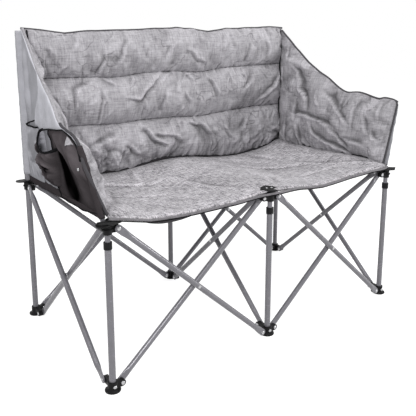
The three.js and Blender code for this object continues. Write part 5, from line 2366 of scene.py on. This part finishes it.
@dataclass
class SteelFrame:
    """The folding frame: fourteen braces, posts, sliding legs, feet and hubs.

    Args:
        wardrobe: the finishes.
        reach_across: distance of the pivots from the post, across.
        reach_deep: distance of the pivots from the post, front to rear.
        side_step: distance of a brace's middle from the ears' middle.
        ear_half: half thickness of an ear.
        rivet_radius: radius of the end rivets' heads.
        rivet_height: their height.
        pin_radius: radius of the pins between them.
        gap: clearance between a rivet head and what it sits on.
        foot_rivet: height of the rivets in the feet.
        strap_width: length along which a corner strap is sewn; not used.
    """

    wardrobe: Wardrobe
    reach_across: float = 0.026
    reach_deep: float = 0.0385
    side_step: float = 0.009
    ear_half: float = 0.0062
    rivet_radius: float = 0.0055
    rivet_height: float = 0.0024
    pin_radius: float = 0.003
    gap: float = 0.0003
    foot_rivet: float = 0.015
    strap_width: float = 0.038

    def brace(self, node: str, lower: Array, upper: Array, facing: Array) -> None:
        """One brace with its rivet heads and pins, in the place of its node.

        Args:
            node: the node, which is also the name of its body.
            lower: middle of the lower pivot, between the ears.
            upper: middle of the upper pivot.
            facing: direction in which the brace stands beside the ears.
        """
        step = facing * self.side_step
        tube = Brace(lower + step, upper + step, facing)
        outer = facing * (self.side_step + tube.flat_half_thickness + self.gap)
        inner = -facing * (self.ear_half + self.gap)
        pin = [(self.pin_radius, 0.0), (self.pin_radius, self.side_step + self.ear_half + 0.0028)]
        heads = []
        for end in (lower, upper):
            for offset, way in ((outer, facing), (inner, -facing)):
                heads.append(rivet_head(end + offset, way, self.rivet_radius, self.rivet_height))
            heads.append(turned_shape(pin, end + inner, facing, 12))
        shape = tube.shape().dressed(0).joined(*[head.dressed(1) for head in heads])
        obj = shape.to_object(f"tube_{node}", self.wardrobe.paint, self.wardrobe.steel)
        stand_in(obj, node, node, 50)

    def pair(self, name: str, words: tuple[str, str], near: Sequence[float], far: Sequence[float],
             facing: Array) -> None:
        """One crossed pair: from each foot up to the other end's hub.

        Args:
            name: what the pair's nodes are called after.
            words: the words for its two ends.
            near: place of the first end, across and deep.
            far: place of the second end.
            facing: direction in which the first brace stands beside the ears.
        """
        for start, end, word, way in ((near, far, words[0], facing), (far, near, words[1], -facing)):
            self.brace(f"brace_{name}_from_{word}", np.append(start, LAYOUT.foot_pivot),
                       np.append(end, LAYOUT.hub_pivot), way)

    def braces(self) -> None:
        """All seven crossed pairs."""
        xs = {"left": -LAYOUT.post_x, "centre": 0.0, "right": LAYOUT.post_x}
        ys = {"front": -LAYOUT.post_y, "rear": LAYOUT.post_y}
        for row, y in ys.items():
            for name, (a, b) in {"left": ("left", "centre"), "right": ("centre", "right")}.items():
                near, far = [xs[a] + self.reach_across, y], [xs[b] - self.reach_across, y]
                self.pair(f"{row}_{name}", ("left", "right"), near, far, np.array([0.0, 1.0, 0.0]))
        for column, x in xs.items():
            outward = np.array([-1.0 if x < 0 else 1.0, 0.0, 0.0])
            name = "middle" if column == "centre" else f"side_{column}"
            near, far = [x, ys["front"] + self.reach_deep], [x, ys["rear"] - self.reach_deep]
            self.pair(name, ("front", "rear"), near, far, outward)

    def refined(self, node: str, body: str, material: bpy.types.Material, slot: Slot, bevel: float) -> None:
        """A copy of a node with its flat facets joined and its edges rounded.

        Args:
            node: the node.
            body: the body that it rides on.
            material: its finish.
            slot: the material slot of the record that it belongs to; not used.
            bevel: width of the rounded edges.
        """
        source = bpy.data.objects[node]
        mesh = bmesh.new()
        mesh.from_mesh(source.data)
        bmesh.ops.remove_doubles(mesh, verts=mesh.verts, dist=1e-6)
        bmesh.ops.dissolve_limit(mesh, angle_limit=math.radians(1), verts=mesh.verts, edges=mesh.edges)
        data = bpy.data.meshes.new(f"fine_{node}")
        mesh.to_mesh(data)
        mesh.free()
        data.materials.append(material)
        data.polygons.foreach_set("use_smooth", np.ones(len(data.polygons), bool))
        obj = link_object(f"fine_{node}", data)
        obj.matrix_world = source.matrix_world.copy()
        modifier = obj.modifiers.new("Bevel", "BEVEL")
        modifier.width = bevel
        modifier.segments = 2
        modifier.limit_method = "ANGLE"
        modifier.angle_limit = math.radians(38)
        modifier.harden_normals = False
        stand_in(obj, node, body, 55)

    def posts(self) -> None:
        """Feet, hubs, tubes, collars and plugs, each in the place of its node."""
        moulded = (self.wardrobe.plastic, Slot.PLASTIC)
        kinds = {
            ("foot_", "hub_"): (*moulded, 0.0009),
            ("collar_", "post_cap_"): (*moulded, 0.0005),
            ("crossing_rivet",): (self.wardrobe.steel, Slot.STEEL, 0.0004),
        }
        for body, nodes in frame["record"]["behaviour"]["bodies"].items():
            for node in nodes:
                looks = [look for starts, look in kinds.items() if node.startswith(starts)]
                if looks:
                    self.refined(node, body, *looks[0])
                elif node.startswith(("post_", "leg_", "slider_")):
                    self.upright(node, body)

    def upright(self, node: str, body: str, wall: float = 0.0012, sides: int = 28) -> None:
        """A round hollow tube in the place of an upright node, with its foot rivet's head.

        Args:
            node: the node.
            body: the body that it rides on.
            wall: thickness of the tube's wall.
            sides: corners of a ring.
        """
        low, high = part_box(node)
        row = 1 if body.startswith("rear") else -1
        radius = (high.x - low.x) / 2
        x, y = (low.x + high.x) / 2, row * LAYOUT.post_y
        bore = radius - wall
        profile = np.array([(bore, low.z), (radius, low.z), (radius, high.z), (bore, high.z)])
        turn = turns(sides)
        ring = np.stack([np.cos(turn), np.sin(turn)], axis=-1)
        places = profile[:, :1, None] * ring[None] + np.array([x, y])
        points = np.concatenate([places, np.broadcast_to(profile[:, 1:, None], (4, sides, 1))], axis=-1)
        quads = grid_quads(numbers(4, sides), wrap_rows=True, wrap_columns=True)
        shape = Shape(points.reshape(-1, 3), quads, np.zeros((4 * sides, 2))).dressed(0)
        if not node.startswith("slider"):
            centre = (x, y + row * 0.0132, self.foot_rivet)
            shape = shape.joined(rivet_head(centre, (0, row, 0), 0.005, self.rivet_height).dressed(1))
        obj = shape.to_object(f"tube_{node}", self.wardrobe.paint, self.wardrobe.steel)
        stand_in(obj, node, body, 50)


    def straps(self) -> None:
        """A webbing square on each front corner hub, between the hub and the seat's corner."""
        a, b, c, d = np.array([(-0.552, -0.286), (-0.4985, -0.2415), (-0.491, -0.292), (-0.523, -0.306)])
        for side in Side:
            u, v = (grid[..., None] for grid in np.meshgrid(np.linspace(0, 1, 12), np.linspace(0, 1, 12)))
            flat = (1 - u) * ((1 - v) * a + v * b) + u * ((1 - v) * d + v * c)
            sag = 0.0012 * np.sin(7 * u) + 0.0016 * (u - 0.5)
            grid = np.concatenate([flat * np.array([-side.value, 1.0]), LAYOUT.hub_top + 0.0009 - sag], axis=-1)
            shape = sheet_shape(grid, flat - a)
            if side is Side.RIGHT:
                shape.quads = shape.quads[:, ::-1]
            obj = shape.to_object(f"hub_strap_{side.word}", self.wardrobe.webbing)
            sew_sheet(obj, f"front_{side.word}_hub", 0.0016,
                      fold=None, outward=True)


@dataclass
class Studio:
    """A white sweep, soft lamps and the camera of the photograph's viewpoint.

    Args:
        eye: place of the camera.
        turn: its angle about Z in degrees.
        tilt: its angle to the level in degrees.
        lens: its focal length in millimetres.
        rise: its vertical shift.
        paper_glow: light of the paper where it is seen.
        sky_light: light of the world on the object.
        film_width: width of its film in millimetres.
        floor_half: half the floor's width.
        aim: the place that the lamps are turned to.
        lamps: name, place, power and size of each lamp.
    """

    eye: tuple[float, float, float] = (-1.1392, -1.5470, 0.8839)
    turn: float = -35.762
    tilt: float = -12.04
    lens: float = 52.54
    rise: float = -0.101
    paper_glow: float = 0.83
    sky_light: float = 0.30
    film_width: float = 36
    floor_half: float = 9
    aim: tuple[float, float, float] = (0, 0, 0.45)
    lamps: tuple[tuple[str, tuple[float, float, float], float, float], ...] = (
        ("key", (-2.4, -2.0, 2.2), 78, 1.2),
        ("top", (0.4, -0.6, 3.2), 40, 2.0),
        ("right", (3.0, -2.0, 1.3), 66, 1.0),
    )

    @staticmethod
    def seen_rays(nodes: bpy.types.Nodes, links: bpy.types.NodeLinks) -> bpy.types.NodeSocket:
        """1 for rays of the camera and for those that gloss or glass sends on, 0 for the light.

        Args:
            nodes: nodes of a material or world.
            links: its links.

        Returns:
            The output.
        """
        rays = nodes.new("ShaderNodeLightPath").outputs
        seen = rays["Is Camera Ray"]
        for name in ("Is Glossy Ray", "Is Transmission Ray"):
            larger = nodes.new("ShaderNodeMath")
            larger.operation = "MAXIMUM"
            links.new(seen, larger.inputs[0])
            links.new(rays[name], larger.inputs[1])
            seen = larger.outputs[0]
        return seen

    def paper(self) -> bpy.types.Material:
        """Pale matt paper, with a little light of its own where it is seen, so that it turns out white.

        Returns:
            The material.
        """
        board = NodeBoard("white_paper")
        fibres = board.noise(board.coordinates(Space.PIECE), 40.0, 2.0)
        colour = board.mix(fibres, even_grey(0.50), even_grey(0.54))
        seen = self.seen_rays(board.nodes, board.links)
        return board.surface(Base_Color=colour, Roughness=0.9, Emission_Color=even_grey(1),
                             Emission_Strength=board.math("MULTIPLY", seen, self.paper_glow))

    def sky(self) -> None:
        """White where it is seen, and a dimmer even light on the object."""
        world = bpy.data.worlds.new("studio")
        world.use_nodes = True
        bpy.context.scene.world = world
        nodes, links = world.node_tree.nodes, world.node_tree.links
        blend = nodes.new("ShaderNodeMix")
        links.new(self.seen_rays(nodes, links), blend.inputs["Factor"])
        blend.inputs["A"].default_value = self.sky_light
        blend.inputs["B"].default_value = 1.0
        background = nodes["Background"]
        background.inputs["Color"].default_value = (1, 1, 1, 1)
        links.new(blend.outputs["Result"], background.inputs["Strength"])

    def build(self) -> None:
        """Floor, lamps, world and camera."""
        bpy.context.scene.view_settings.view_transform = "Standard"
        corners = self.floor_half * np.array([[[-1, -1, 0], [1, -1, 0]], [[-1, 1, 0], [1, 1, 0]]], float)
        ground = sheet_shape(corners, np.zeros((2, 2, 2))).to_object("floor", self.paper())
        self.sky()
        for lamp in self.lamps:
            self.lamp(*lamp)
        self.camera()

    def lamp(self, name: str, place_at: Sequence[float], power: float, size: float) -> None:
        """A square soft lamp aimed at the seat.

        Args:
            name: its name.
            place_at: where it stands.
            power: its power in watts.
            size: length of its side.
        """
        data = bpy.data.lights.new(name, "AREA")
        data.energy = power
        data.size = size
        obj = link_object(name, data)
        obj.location = place_at
        ray = Vector(self.aim) - Vector(place_at)
        obj.rotation_euler = ray.to_track_quat("-Z", "Y").to_euler()

    def camera(self) -> None:
        """The camera, looking the way that the photograph does."""
        data = bpy.data.cameras.new("camera")
        data.lens = self.lens
        data.sensor_width = self.film_width
        data.shift_y = self.rise
        obj = link_object("camera", data)
        obj.location = self.eye
        obj.rotation_euler = (math.radians(90 + self.tilt), 0, math.radians(self.turn))
        bpy.context.scene.camera = obj


def build_loveseat() -> None:
    """Build every sub-assembly in order and report each piece."""
    Studio().build()
    wardrobe = Wardrobe()
    steel = SteelFrame(wardrobe)
    steel.braces()
    steel.posts()
    steel.straps()
    seat = SeatPad(wardrobe)
    seat.build()
    seat.dress()
    seat.cap()
    back = BackPad(wardrobe, seat)
    back.build()
    back.dress()
    arms = {side: ArmPad(wardrobe, side) for side in Side}
    for arm in arms.values():
        arm.build()
        arm.dress()
        arm.corner_seam(back)
        arm.sleeve()
        FrontApron(wardrobe, arm).build()
    cup_pocket = Pouch(wardrobe, arms[Side.LEFT], name="cloth_cup_pocket", node="cup_pocket", middle=0.020,
                       width=0.112, depth=0.046, top=0.631, bottom=0.484, bottom_share=0.6, roundness=0.8,
                       crumple=0.006, rim_dip=0.026, rim_fall=0.038, rim_radius=0.0027)
    flat_pocket = Pouch(wardrobe, arms[Side.LEFT], name="cloth_flat_pocket", node="flat_pocket", middle=0.183,
                        width=0.128, depth=0.009, top=0.627, bottom=0.468, bottom_share=0.95, roundness=0.4,
                        crumple=0.0009, rim_dip=0.002, rim_fall=-0.005, rim_radius=0.0017, gloom=0.9,
                        charcoal=False)
    cup_pocket.build()
    flat_pocket.build()
    flat_pocket.slot()


def main() -> None:
    """Build the loveseat."""
    logging.basicConfig(level=logging.INFO, format="%(name)s: %(message)s")
    build_loveseat()


if __name__ == "__main__":
    main()
